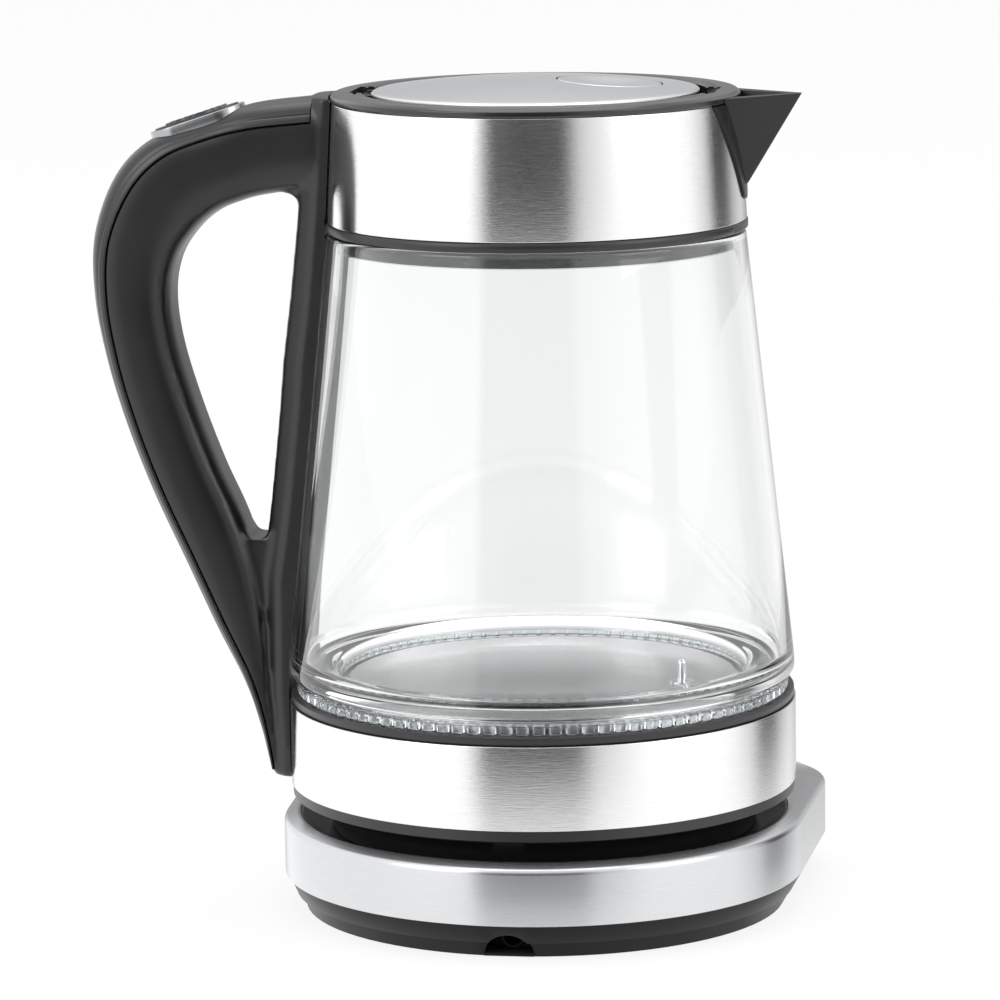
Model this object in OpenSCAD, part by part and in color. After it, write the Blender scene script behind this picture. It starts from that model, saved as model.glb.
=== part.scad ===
// Cordless glass kettle on a 360-degree power base with its own control strip.
// The kettle's axis is Z, the spout points along +X, the handle along -X and the control strip along +Y.

/* [Power base] */
// How far the round front of the base stands out past the kettle's lower band
base_over = 2.5; // [2.3:0.1:4]
// How much further out the straight sides of the base are than its round front
base_widen = 2; // [1:0.5:4]
// Radius of the two rear corners
base_corner_r = 32; // [26:1:36]
// Distance from the axis back to the corners' centres
base_corner_y = 49; // [46:1:54]
// Height of the shell's lower edge
shell_lo_z = 10.9; // [9:0.1:12]
// Height of the side wall of the shell
shell_side_h = 15.6; // [14:0.2:18]
// Height of the sloping shoulder
shoulder_h = 3.1; // [2.6:0.1:3.6]
// Wall of the pressed steel shell
shell_t = 0.8; // [0.6:0.1:1]
// Width of the sloping shoulder
shoulder_w = 4.9; // [4.6:0.1:5.4]
// Depth of the recess that the kettle stands in
recess_d = 4.6; // [4:0.2:5.2]
// Width of the cord notch in the foot
notch_w = 15; // [12:0.5:18]
// Height of the cord notch
notch_h = 7.4; // [7:0.2:8]
// Radius of the cord bore in the gland
cord_r = 3; // [2.8:0.1:3.1]

/* [Control strip] */
// Width of the strip from front to back
strip_w = 12; // [11:0.5:13]
// Half of the angle that the strip spans round its own centre
strip_half_a = 29; // [28:1:31]
// Radius of each key
key_r = 4; // [3.4:0.1:4.2]
// How far a key travels
key_travel = 0.6; // [0.4:0.1:0.8]
// Angle from one key to the next
key_pitch_a = 7; // [6.4:0.2:7.4]
// Angle from the middle of the strip to its nearest key
key_first_a = 15; // [14:0.5:16]

/* [Body] */
// Air gap between the base's rim and the kettle's lower edge
lift_gap = 5.4; // [4.8:0.2:6]
// Height of the plastic edge below the lower band
foot_edge_h = 4; // [3.4:0.2:5]
// Height of the lower steel band
lower_band_h = 25.3; // [24:0.5:28]
// Outer radius of the lower steel band
lower_band_r = 77.5; // [70:0.5:85]
// Thickness of both steel bands
band_t = 0.6; // [0.5:0.1:0.8]
// Height of the black ring above the lower band
trim_h = 2.9; // [2.4:0.1:3.4]
// Height of the clear light ring
light_h = 3.4; // [3:0.1:4]
// How far the light ring stands in from the lower band
light_in = 2.1; // [1.7:0.1:2.7]
// Ribs round the light ring
light_ribs = 96; // [72:2:110]
// Height of the glass
glass_h = 136.8; // [126:0.5:148]
// How far the foot of the glass stands in from the lower band
glass_in = 0.3; // [0.1:0.1:0.6]
// Radius of the glass at its mouth
mouth_r = 63.1; // [57:0.5:68]
// Thickness of the glass
glass_t = 2.8; // [2.4:0.1:3.2]
// Height of the black ring above the glass
collar_lo_h = 3; // [2.6:0.1:3.6]
// Height of the upper steel band
upper_band_h = 36; // [34:0.5:40]
// How far the top of the upper band stands in from the mouth of the glass
upper_in = 1.6; // [1:0.1:2.4]
// Height of the ring round the lid
collar_h = 2.8; // [2.6:0.1:3.4]
// Width of the ring round the lid
collar_w = 9.5; // [9:0.1:10]

/* [Heater] */
// Distance from the lower band in to the heater plate's raised rim
plate_in = 17.6; // [17.3:0.1:19]
// Thickness of the heater plate
plate_t = 0.8; // [0.6:0.1:1]
// Depth of the plate's dish below its rim
plate_dish = 3.6; // [3:0.1:4]
// Radius of the temperature probe
probe_r = 1.4; // [1.2:0.1:1.8]
// Height of the temperature probe above the plate
probe_h = 7.7; // [6:0.1:9]
// Distance from the plate's rim in to the loop of the heating element
element_in = 21.9; // [18:0.1:26]
// Radius of the element's tube
element_r = 3.2; // [2.8:0.1:3.6]

/* [Lid] */
// Gap between the lid's steel plate and the ring round it
lid_gap = 2.5; // [2.2:0.1:2.9]
// Rise of the domed plate in its middle
lid_rise = 3.4; // [2.8:0.1:4]
// Thickness of the plate at its edge
lid_t = 1.2; // [1:0.1:1.4]
// Radius of the press mark
press_r = 15.7; // [14:0.1:16.5]
// Distance from the lid's edge in to the middle of the press mark
press_in = 26.9; // [25:0.1:28]
// Radius of the hinge pin
pin_r = 1.2; // [1.1:0.05:1.3]
// Running clearance of the hinge pin
pin_clear = 0.05; // [0.03:0.01:0.08]
// Radius of the lid's knuckles
knuckle_r = 2.3; // [2.2:0.05:2.4]

/* [Spout] */
// How far the spout's tip stands out past the upper band
spout_reach = 19; // [17:0.5:22]
// Half width of the opening in the band at the top
spout_half_w = 25; // [23:0.5:26]
// Radius of the rounded bottom of that opening
spout_bottom_r = 7; // [6:0.2:8]
// Height from the band's lower edge up to the opening
spout_sill = 6; // [5:0.5:8]
// Wall of the spout
spout_t = 1.8; // [1.5:0.1:2.2]

/* [Handle] */
// Half width of the handle across the grip
grip_half_w = 12.5; // [11:0.5:13.5]
// How much the grip is stretched away from the body
grip_reach = 1; // [0.95:0.01:1.06]
// Thickness of the post that runs along the glass
post_t = 11; // [10:0.5:12]
// Gap between the post and the body
post_gap = 0.4; // [0.3:0.1:0.6]
// Gap at the seam between the grip and its cover
seam_gap = 0.35; // [0.25:0.05:0.5]

/* [Release button] */
// Length of the bezel
bezel_l = 30.4; // [29:0.2:31]
// Width of the bezel
bezel_w = 17; // [16:0.5:18]
// Wall of the bezel
bezel_t = 1.4; // [1.2:0.1:1.6]
// How far the button travels
press_travel = 3; // [2.4:0.1:3]
// Ribs across the button
button_ribs = 9; // [7:1:11]

/* [Hidden] */
$fn = 72;
eps = 0.01;
glass_r = lower_band_r - glass_in;
light_r = lower_band_r - light_in;
plate_rim_r = lower_band_r - plate_in;
element_loop_r = plate_rim_r - element_in;
upper_band_r = mouth_r - upper_in;
opening_r = upper_band_r - collar_w;
lid_r = opening_r - lid_gap;
press_x = lid_r - press_in;
spout_x = upper_band_r + spout_reach;
base_r = lower_band_r + base_over;
base_half_w = base_r + base_widen;
rim_r = base_r - shoulder_w;
gap = 0.3;          // between pieces that pass each other
fit = 0.15;         // round pieces that are let into others
seat = 0.1;         // between stacked pieces

// Heights of the base
tray_z = 0.4;
shoulder_z = shell_lo_z + shell_side_h;
rim_z = shoulder_z + shoulder_h;
deck_t = 2.2;
deck_z = rim_z - recess_d;
shoulder_in = shoulder_w - 0.3;

// Heights of the kettle
foot_z = rim_z + lift_gap;
band_lo_z = foot_z + foot_edge_h;
band_hi_z = band_lo_z + lower_band_h;
light_z = band_hi_z + trim_h;
glass_z = light_z + light_h + 0.4;
glass_top_z = glass_z + glass_h;
neck_z = glass_top_z + gap;
upper_lo_z = neck_z + collar_lo_h;
upper_hi_z = upper_lo_z + upper_band_h;
collar_z = upper_hi_z + collar_h;
upper_foot_r = mouth_r + 0.4;
ring_a_r = mouth_r + 0.7;
trim_r = lower_band_r - 0.5;
latch_z = upper_hi_z - 5.8;
latch_t = 2.6;
latch_half = 3.5;
latch_tip_x = -(opening_r - 2.5);

// Outline of the base, drawn in by d all round
side_n = acos((base_r - base_corner_r) / norm([corner_x(), base_corner_y]));
side_a = atan2(base_corner_y, corner_x()) - side_n;
blend_a = 52;
back_r = base_corner_r + corner_x() / cos(blend_a);
back_y = base_corner_y - (back_r - base_corner_r) * sin(blend_a);
function corner_x() = base_half_w - base_corner_r;
function arc_pts(cx, cy, r, a0, a1, n) =
    [for (i = [0:n]) let (a = a0 + (a1 - a0) * i / n) [cx + r * cos(a), cy + r * sin(a)]];
function base_outline(d) = concat(
    arc_pts(0, 0, base_r - d, 180 - side_a, 360 + side_a, 42),
    arc_pts(corner_x(), base_corner_y, base_corner_r - d, side_a, blend_a, 8),
    arc_pts(0, back_y, back_r - d, blend_a + 5, 175 - blend_a, 12),
    arc_pts(-corner_x(), base_corner_y, base_corner_r - d, 180 - blend_a, 180 - side_a, 8));

// A solid through outlines of equal length, each [points, height]
module stack(levels) {
    n = len(levels[0][0]);
    m = len(levels);
    points = [for (level = levels) for (p = level[0]) [p[0], p[1], level[1]]];
    sides = [for (k = [0:m - 2]) for (i = [0:n - 1]) let (j = (i + 1) % n)
        [k * n + i, (k + 1) * n + i, (k + 1) * n + j, k * n + j]];
    polyhedron(points, concat([[for (i = [0:n - 1]) i]],
        [[for (i = [n - 1:-1:0]) (m - 1) * n + i]], sides), convexity = 6);
}

module ring(r_out, r_in, z0, z1) {
    translate([0, 0, z0]) difference() {
        cylinder(r = r_out, h = z1 - z0);
        translate([0, 0, -1]) cylinder(r = r_in, h = z1 - z0 + 2);
    }
}

// ---------------------------------------------------------------- power base

foot_in = 6;        // how far the foot ring stands in from the shell
foot_h = 4.6;       // height of the foot ring
skirt_in = 1;       // skirt below the shell's edge
floor_t = 1.8;
rib_t = 1.6;
screw_at = [for (s = [-1, 1]) for (p = [[0.6, -0.5], [0.65, 0.65]]) [s * p[0], p[1]] * base_r];
boss_r = 4;
screw_r = 1.5;
gland_y = -(base_r - 16);       // front face of the gland's seat
gland_z = tray_z + notch_h - cord_r;
gland_l = 7;
gland_r = cord_r + 0.8;
gland_proud = 1.5;  // how far the gland stands out into the notch
foot_ring_r = base_r - 24;
foot_ring_w = 6;
foot_groove = 1.4;
pad_r = 6;
pad_at = [for (s = [-1, 1]) [s * 0.55, 0.85] * base_r];
strip_r = back_r - 4;           // outer radius of the control strip
strip_in_r = strip_r - strip_w;
post_r = 14.5;                  // central connector of the base
post_h = 13;
deck_wall_z = tray_z + foot_h + floor_t;

// Underside of the shell's shoulder at radius r
function shell_under(r) = rim_z - shell_t
    - (r - base_r + shoulder_in + shell_t) * (shoulder_h - 0.86) / (shoulder_in - 1.6);
module shell_body(d) {
    stack([[base_outline(d), shell_lo_z - (d > 0 ? 1 : 0)],
           [base_outline(d), shoulder_z - 1.6 - d * 0.4],
           [base_outline(d + 0.5), shoulder_z - 0.3 - d * 0.6],
           [base_outline(d + 1.6), shoulder_z + 0.7 - d * 0.8],
           [base_outline(shoulder_in + d), rim_z - d]]);
}

module strip_sector(r0, r1, half_a, z0, z1) {
    translate([0, back_y, 0]) rotate([0, 0, 90 - half_a])
        rotate_extrude(angle = 2 * half_a)
            translate([r0, z0]) square([r1 - r0, z1 - z0]);
}

// Angles of the four keys, counted from the middle of the strip
key_angles = [-key_first_a - key_pitch_a, -key_first_a, key_first_a, key_first_a + key_pitch_a];
module at_key(i) {
    translate([0, back_y, 0]) rotate([0, 0, 90 + key_angles[i]])
        translate([(strip_r + strip_in_r) / 2, 0, 0]) children();
}

module base_shell() color([0.78, 0.78, 0.79]) {
    difference() {
        shell_body(0);
        shell_body(shell_t);
        translate([0, 0, shoulder_z - 6]) cylinder(r = rim_r, h = 20);
        strip_sector(strip_in_r - fit, strip_r + fit, strip_half_a + 0.1, shoulder_z - 4, rim_z + 4);
    }
}

module tray_profile(z0, z1) {
    stack([[base_outline(foot_in + 0.4), z0],
           [base_outline(foot_in), tray_z + foot_h],
           [base_outline(3.4), tray_z + foot_h + 0.1],
           [base_outline(skirt_in), shell_lo_z - 0.2],
           [base_outline(skirt_in), z1]]);
}

module base_tray() color([0.08, 0.08, 0.09]) difference() {
    tray_profile(tray_z, shell_lo_z + 1.4);
    // Hollow above the floor
    difference() {
        stack([[base_outline(foot_in + 3), deck_wall_z],
               [base_outline(foot_in + 3), shell_lo_z + 2]]);
        for (p = screw_at) translate([p[0], p[1], 0]) cylinder(r = boss_r + 1.2, h = 20);
        translate([-8, gland_y - 2, 0]) cube([16, 22, 20]);
    }
    // Notch and seat of the cord gland
    translate([0, 0, tray_z]) {
        translate([0, gland_y, notch_h - notch_w / 2]) rotate([90, 0, 0])
            cylinder(r = notch_w / 2, h = 30);
        translate([-notch_w / 2, gland_y - 30, -1]) cube([notch_w, 30, notch_h - notch_w / 2 + 1]);
    }
    translate([0, gland_y + gland_l + seat, gland_z]) rotate([90, 0, 0])
        cylinder(r = gland_r + fit, h = gland_l + gland_proud + 1);
    translate([0, gland_y + 16, gland_z]) rotate([90, 0, 0]) cylinder(r = cord_r + gap, h = 18);
    translate([-cord_r - gap, gland_y + 13, gland_z]) cube([2 * (cord_r + gap), 4, 10]);
    // Grooves for the feet
    ring(foot_ring_r + fit, foot_ring_r - foot_ring_w - fit, -1, tray_z + foot_groove);
    for (p = pad_at) translate([p[0], p[1], -1]) cylinder(r = pad_r + fit, h = tray_z + foot_groove + 1);
    // Screw holes
    for (p = screw_at) translate([p[0], p[1], -1]) {
        cylinder(r = screw_r + fit, h = 20);
        cylinder(r = 3.1, h = 4 + 1);
    }
}

module cord_gland() color([0.12, 0.12, 0.12])
    translate([0, gland_y + gland_l, gland_z]) rotate([90, 0, 0])
        ring(gland_r, cord_r, 0, gland_l + gland_proud);

module rubber_feet() color([0.15, 0.15, 0.15]) {
    ring(foot_ring_r, foot_ring_r - foot_ring_w, 0, tray_z + foot_groove - 0.05);
    for (p = pad_at) translate([p[0], p[1], 0]) cylinder(r = pad_r, h = tray_z + foot_groove - 0.05);
}

module base_screws() color([0.6, 0.6, 0.62]) {
    for (p = screw_at) translate([p[0], p[1], 0]) {
        translate([0, 0, 1.6]) cylinder(r = 2.8, h = 2.3);
        translate([0, 0, 3]) cylinder(r = screw_r, h = 14);
    }
}

module base_deck() color([0.05, 0.05, 0.06]) difference() {
    union() {
        rotate_extrude($fn = 120) polygon([
            [0, deck_z - deck_t], [rim_r - 5.1, deck_z - deck_t], [rim_r - 3, deck_z - 0.6],
            [rim_r - 3, rim_z - shoulder_h - 0.4], [rim_r + 1.6, rim_z - shoulder_h - 0.4],
            [rim_r + 1.6, shell_under(rim_r + 1.6) - seat], [rim_r - fit, shell_under(rim_r - fit) - seat],
            [rim_r - fit, rim_z - 0.5],
            [rim_r - 1.2, rim_z - 0.5], [rim_r - 5.6, deck_z + 0.6], [rim_r - 7, deck_z], [0, deck_z]]);
        for (p = screw_at) translate([p[0], p[1], deck_wall_z + 6]) cylinder(r = boss_r, h = deck_z - deck_wall_z - 7);
    }
    translate([0, 0, deck_z - deck_t - 1]) cylinder(r = post_r - 2, h = 20);
    for (p = screw_at) translate([p[0], p[1], 0]) cylinder(r = screw_r + 0.05, h = 18);
}

module base_coupler() color([0.1, 0.1, 0.11]) difference() {
    union() {
        translate([0, 0, deck_z - deck_t - 3]) cylinder(r = post_r - 2 - fit, h = 8);
        translate([0, 0, deck_z + eps]) cylinder(r = post_r, h = post_h - 1);
        translate([0, 0, deck_z + post_h - 1]) cylinder(r1 = post_r, r2 = post_r - 1, h = 1);
    }
    ring(11, 7.6, deck_z + 2, deck_z + post_h + 1);
    translate([0, 0, deck_z + 2]) cylinder(r = 3.4, h = post_h);
}

module base_contacts() color([0.8, 0.65, 0.3]) {
    ring(7.5 + 0.9, 7.5 + 0.2, deck_z + 2.1, deck_z + post_h - 2);
    translate([0, 0, deck_z + 2.1]) difference() {
        cylinder(r = 3.2, h = post_h - 4);
        translate([0, 0, 1]) cylinder(r = 2.4, h = post_h);
    }
}

panel_z = rim_z + 0.2;
module control_panel() color([0.06, 0.06, 0.07]) difference() {
    union() {
        strip_sector(strip_in_r, strip_r, strip_half_a, shoulder_z - 1, panel_z);
        strip_sector(strip_in_r + 1, strip_r - 2, strip_half_a - 1, shoulder_z - 3, shoulder_z - 1 + eps);
    }
    for (i = [0:3]) at_key(i) cylinder(r = key_r + 0.2, h = 40);
    strip_sector(strip_in_r + 2, strip_r - 2.4, 9.2, shoulder_z, panel_z + 1);
}

module display_window() color([0.02, 0.02, 0.03])
    strip_sector(strip_in_r + 2 + fit, strip_r - 2.4 - fit, 9.1, shoulder_z + 0.1, panel_z - 0.15);

board_z = shoulder_z - 9;
key_top_z = panel_z + 0.7;
key_lo_z = shoulder_z - 4.2;
module key_cap(i) {
    at_key(i) {
        translate([0, 0, key_lo_z + 1]) cylinder(r = key_r, h = key_top_z - key_lo_z - 1.4);
        translate([0, 0, key_top_z - 0.4 - eps]) cylinder(r1 = key_r, r2 = key_r - 0.4, h = 0.4);
        translate([0, 0, key_lo_z]) cylinder(r = key_r - 1.8, h = 1 + eps);
    }
}
module power_key() color([0.75, 0.75, 0.76]) key_cap(0);
module cooler_key() color([0.75, 0.75, 0.76]) key_cap(1);
module hotter_key() color([0.75, 0.75, 0.76]) key_cap(2);
module keep_warm_key() color([0.75, 0.75, 0.76]) key_cap(3);

module control_board() color([0.1, 0.35, 0.18]) {
    strip_sector(strip_in_r + 1.6, strip_r - 3, strip_half_a - 2, board_z, board_z + 1.6);
    for (i = [0:3]) at_key(i) translate([-2, -2, board_z + 1.6 - eps])
        cube([4, 4, key_lo_z - key_travel - 0.1 - board_z - 1.6]);
    strip_sector(strip_in_r + 3, strip_r - 4, 8, board_z + 1.6 - eps, shoulder_z - 3.2);
}

// ---------------------------------------------------------------- lower body

cone_k = (glass_r - mouth_r) / (glass_h - 4.5);     // slope of the glass
function glass_out(z) = glass_r - cone_k * (z - glass_z - 4.5);
socket_r = post_r + 0.6;
socket_t = 2.4;
socket_out = socket_r + socket_t;
under_foot_r = lower_band_r - 15.5;
plate_rim_z = light_z + 1.8;
plate_flange_z = plate_rim_z - 2.8;
plate_floor_z = plate_rim_z - plate_dish;
flange_r = plate_rim_r + 7;
handle_screw_z = [band_lo_z + 12, upper_lo_z + 14];

module kettle_connector() color([0.12, 0.12, 0.13]) difference() {
    union() {
        translate([0, 0, deck_z + 1]) cylinder(r = socket_out, h = post_h + 3.4);
        translate([0, 0, foot_z + 2.6]) cylinder(r = socket_out + 6, h = 2);
    }
    translate([0, 0, deck_z]) cylinder(r = socket_r, h = post_h + gap);
    translate([0, 0, deck_z + post_h]) cylinder(r = 2 - 0.05, h = 10);
    ring(10.2, 8.7, deck_z + post_h, deck_z + post_h + 2);
}

module connector_contacts() color([0.8, 0.65, 0.3]) {
    translate([0, 0, deck_z + 4]) cylinder(r = 1.9, h = post_h + 2);
    ring(10.1, 8.8, deck_z + 4, deck_z + post_h + 1.9);
}

module bottom_cover() color([0.07, 0.07, 0.08]) difference() {
    rotate_extrude($fn = 120) polygon([
        [socket_out + gap, foot_z], [under_foot_r - 4, foot_z], [under_foot_r - 3, deck_z + 0.25],
        [under_foot_r + 3, deck_z + 0.25], [under_foot_r + 4, foot_z - 1],
        [lower_band_r - 2.4, foot_z], [trim_r, foot_z + 0.8], [trim_r, band_lo_z - seat],
        [lower_band_r - 4, band_lo_z - seat], [lower_band_r - 4, foot_z + 2.2],
        [socket_out + gap, foot_z + 2.2]]);
    at_bottom_screws() translate([0, 0, foot_z - 1]) {
        cylinder(r = screw_r + fit, h = 10);
        cylinder(r = 2.8, h = 2.2);
    }
}

bottom_screw_r = lower_band_r - 7.9;
module at_bottom_screws() for (a = [30, 150, 270]) rotate([0, 0, a]) translate([bottom_screw_r, 0, 0]) children();

module bottom_screws() color([0.6, 0.6, 0.62])
    at_bottom_screws() translate([0, 0, foot_z + 0.1]) {
        cylinder(r = 2.6, h = 1);
        cylinder(r = screw_r, h = 11);
    }

module lower_band() color([0.8, 0.8, 0.81]) difference() {
    ring(lower_band_r, lower_band_r - band_t, band_lo_z, band_hi_z, $fn = 120);
    handle_screw_hole(0);
}

module handle_screw_hole(i)
    translate([0, 0, handle_screw_z[i]]) rotate([0, -90, 0]) cylinder(r = screw_r + fit, h = base_r);

seat_r = flange_r + 0.5;
module lower_housing() color([0.07, 0.07, 0.08]) difference() {
    union() {
        rotate_extrude($fn = 120) polygon([
            [lower_band_r - band_t - 2.4, band_lo_z + 0.2], [lower_band_r - band_t - fit, band_lo_z + 0.2],
            [lower_band_r - band_t - fit, band_hi_z + seat], [trim_r - 0.6, band_hi_z + seat],
            [trim_r, band_hi_z + seat + 0.5], [trim_r, light_z - 0.4], [trim_r - 0.4, light_z],
            [seat_r, light_z], [seat_r, plate_flange_z - plate_t - seat],
            [plate_rim_r + 2, plate_flange_z - plate_t - seat], [plate_rim_r + 2, plate_flange_z - plate_t - 2.6],
            [lower_band_r - band_t - 2.4, plate_flange_z - plate_t - 4.6]]);
        // Bosses for the screws of the bottom cover
        at_bottom_screws() {
            translate([0, 0, foot_z + 2.3]) cylinder(r = 3.6, h = 16);
            translate([0, -2, band_lo_z + 1]) cube([lower_band_r - band_t - 1 - bottom_screw_r, 4, 14]);
        }
    }
    at_bottom_screws() translate([0, 0, foot_z]) cylinder(r = screw_r + 0.05, h = 16);
    handle_screw_hole(0);
    for (i = [0:led_n - 1]) rotate([0, 0, i * 360 / led_n + 15]) translate([led_at_r, 0, 0])
        cylinder(r = 1.7, h = 200);
}

led_n = 12;
led_at_r = lower_band_r - 6.1;
led_z = plate_flange_z - plate_t - 5.6;
module led_board() color([0.9, 0.9, 0.85]) {
    ring(lower_band_r - band_t - 2.6, flange_r, led_z - 1.2, led_z - 0.2);
    for (i = [0:led_n - 1]) rotate([0, 0, i * 360 / led_n + 15]) translate([led_at_r, 0, led_z - 0.2 - eps])
        cylinder(r = 1.4, h = light_z - led_z - 0.2);
}

module light_ring() color([0.93, 0.94, 0.95, 0.6]) {
    rib = 0.9;
    rib_r = light_r - 0.15;
    lip = 0.5;
    pitch = 360 / light_ribs;
    outline = [for (i = [0:light_ribs - 1]) for (s = [[0, rib_r - rib], [0.04, rib_r],
        [0.2, rib_r], [0.24, rib_r - rib]])
        let (a = (i + s[0]) * pitch) [s[1] * cos(a), s[1] * sin(a)]];
    difference() {
        union() {
            translate([0, 0, light_z + seat]) linear_extrude(light_h - seat - lip + eps) polygon(outline);
            translate([0, 0, light_z + light_h - lip]) cylinder(r = light_r, h = lip, $fn = 120);
        }
        translate([0, 0, light_z - 1]) cylinder(r = seat_r + 0.6, h = light_h + 2, $fn = 120);
    }
}

module heater_plate() color([0.75, 0.75, 0.76]) difference() {
    rotate_extrude($fn = 120) polygon([
        [0, plate_floor_z], [plate_rim_r - 11.4, plate_floor_z], [plate_rim_r - 9.4, plate_floor_z + 0.8],
        [plate_rim_r - 2.9, plate_floor_z + 1.2],
        [plate_rim_r - 0.6, plate_rim_z], [plate_rim_r + 0.2, plate_rim_z],
        [plate_rim_r + 1.4, plate_flange_z], [flange_r, plate_flange_z],
        [flange_r, plate_flange_z - plate_t], [plate_rim_r + 0.8, plate_flange_z - plate_t],
        [plate_rim_r - 0.3, plate_rim_z - plate_t - 0.4], [plate_rim_r - 2.3, plate_floor_z + 1.2 - plate_t],
        [plate_rim_r - 9.1, plate_floor_z + 0.8 - plate_t], [plate_rim_r - 11.1, plate_floor_z - plate_t],
        [0, plate_floor_z - plate_t]]);
    translate([probe_at[0], probe_at[1], 0]) cylinder(r = probe_r + 0.3, h = 200);
}

probe_at = [plate_rim_r - 17.4, 7];
module temperature_probe() color([0.85, 0.85, 0.86]) translate([probe_at[0], probe_at[1], plate_floor_z]) {
    translate([0, 0, -6]) cylinder(r = probe_r, h = 6 + probe_h - probe_r, $fn = 36);
    translate([0, 0, probe_h - probe_r]) sphere(r = probe_r, $fn = 36);
    translate([0, 0, 0.05]) cylinder(r = 3.9, h = 0.7);
}

element_z = plate_floor_z - plate_t - seat - element_r;
module heating_element() color([0.7, 0.7, 0.72]) {
    rotate([0, 0, 35]) rotate_extrude(angle = 290, $fn = 96) translate([element_loop_r, element_z])
        circle(r = element_r, $fn = 32);
    for (a = [35, 325]) rotate([0, 0, a]) translate([element_loop_r, 0, 0]) {
        translate([0, 0, element_z - 9]) cylinder(r = 1.4, h = 9);
        translate([0, 0, element_z]) sphere(r = element_r, $fn = 32);
    }
}

module plate_seal() color([0.9, 0.9, 0.88])
    ring(flange_r - 0.6, plate_rim_r + 1.8, plate_flange_z + 0.05, glass_z - 0.05, $fn = 120);

// ---------------------------------------------------------------- glass and neck

function wall_pt(z, d) = [glass_out(z) - d, z];
lip_r = plate_rim_r + 3;
module glass_body() color([0.85, 0.9, 0.92, 0.35])
    rotate_extrude($fn = 120) polygon(concat(
        [[lip_r, glass_z], [glass_r - 3.2, glass_z]],
        arc_pts(glass_r - 3.2, glass_z + 3.4, 3.2, -75, -8, 6),
        [wall_pt(glass_z + 5.5, 0), wall_pt(glass_top_z - 0.8, 0), wall_pt(glass_top_z, 0.9),
         wall_pt(glass_top_z, glass_t - 0.5), wall_pt(glass_top_z - 0.6, glass_t)],
        [wall_pt(glass_z + 9, glass_t)],
        [for (i = [1:5]) let (a = i * 15)
            [glass_out(glass_z + 9) - glass_t - 5.6 * (1 - cos(a)), glass_z + 9 - 6 * sin(a)]],
        [[lip_r + 1, glass_z + 3], [lip_r, glass_z + 2]]));

sleeve_r = mouth_r - glass_t - 1.1;
module glass_top_seal() color([0.85, 0.85, 0.84])
    ring(mouth_r - glass_t - 0.15, sleeve_r + 0.05, neck_z - 5.2, neck_z - 0.5, $fn = 120);

function band_out(z) = upper_foot_r + (upper_band_r - upper_foot_r) * (z - upper_lo_z) / upper_band_h;
skirt_z = upper_hi_z - 11;
neck_t = 2;
neck_top_z = upper_hi_z - 2;

// Opening for the spout as seen along X, drawn in by d
spout_c_z = upper_lo_z + spout_sill + spout_bottom_r;
module spout_outline(d) {
    top = [spout_half_w - d, upper_hi_z - spout_c_z];
    r = spout_bottom_r - d;
    t = atan2(top[1], top[0]) - acos(r / norm(top));
    translate([0, spout_c_z]) polygon(concat([[top[0], top[1] + 20], top],
        arc_pts(0, 0, r, t, -180 - t, 12), [[-top[0], top[1]], [-top[0], top[1] + 20]]));
}
module along_x(d) rotate([90, 0, 90]) linear_extrude(2 * mouth_r) spout_outline(d);

module upper_band() color([0.8, 0.8, 0.81]) difference() {
    rotate_extrude($fn = 120) polygon([
        [band_out(upper_lo_z) - band_t, upper_lo_z], [band_out(upper_lo_z), upper_lo_z],
        [band_out(upper_hi_z), upper_hi_z], [band_out(upper_hi_z) - band_t, upper_hi_z]]);
    along_x(0);
    latch_slot(0.6);
    handle_screw_hole(1);
}

module neck_housing() color([0.07, 0.07, 0.08]) difference() {
    rotate_extrude($fn = 120) polygon([
        [sleeve_r - 1.8, neck_z - 5], [sleeve_r, neck_z - 5], [sleeve_r, neck_z],
        [ring_a_r - 0.5, neck_z], [ring_a_r, neck_z + 0.5], [ring_a_r, upper_lo_z - 0.5 - seat],
        [ring_a_r - 0.5, upper_lo_z - seat], [upper_foot_r - band_t - fit, upper_lo_z - seat],
        [band_out(neck_top_z) - band_t - fit, neck_top_z],
        [band_out(neck_top_z) - band_t - neck_t, neck_top_z], [sleeve_r - 1.8, upper_lo_z + 4]]);
    // Window behind the spout
    rotate([90, 0, 90]) linear_extrude(2 * mouth_r) intersection() {
        spout_outline(2.6);
        translate([-opening_r, 0]) square([2 * opening_r, neck_top_z - 1.5]);
    }
    filter_sector(filter_a + 0.2, filter_r - 3, filter_r + filter_t + seat, filter_lo_z - seat, filter_hi_z + 2);
    latch_slot(0.6);
    handle_screw_hole(1);
}

filter_r = band_out(upper_lo_z + 10) - band_t - neck_t - 2.6;
filter_lo_z = upper_lo_z + 3;
filter_hi_z = neck_top_z - gap;
filter_a = 20;
filter_t = 1.2;
module filter_sector(half_a, r0, r1, z0, z1) rotate([0, 0, -half_a]) rotate_extrude(angle = 2 * half_a, $fn = 120)
    translate([r0, z0]) square([r1 - r0, z1 - z0]);
module spout_filter() color([0.55, 0.56, 0.57]) difference() {
    filter_sector(filter_a, filter_r, filter_r + filter_t, filter_lo_z, filter_hi_z);
    for (c = [-4:4]) rotate([0, 0, c * 4]) for (r = [0:5])
        translate([filter_r - 2, -1.45, filter_lo_z + 3 + r * 4.4]) cube([6, 2.9, 3.2]);
}

// ---------------------------------------------------------------- hinge and lid

pin_x = -(opening_r + 0.2);
pin_z = upper_hi_z - 0.4;
pin_half = 13;
notch_half = 10.6;
notch_reach = opening_r + 3.3;
knuckle_w = 3.6;
knuckle_y = 6.2;
spring_half = 5.4;
lid_plate_z = upper_hi_z + 1.9;

module finger_notch(z0) hull() for (x = [opening_r - 8, notch_reach - 2]) for (y = [-1, 1])
    translate([x, y * (notch_half - 2), z0]) cylinder(r = 2, h = 30, $fn = 32);

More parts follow.
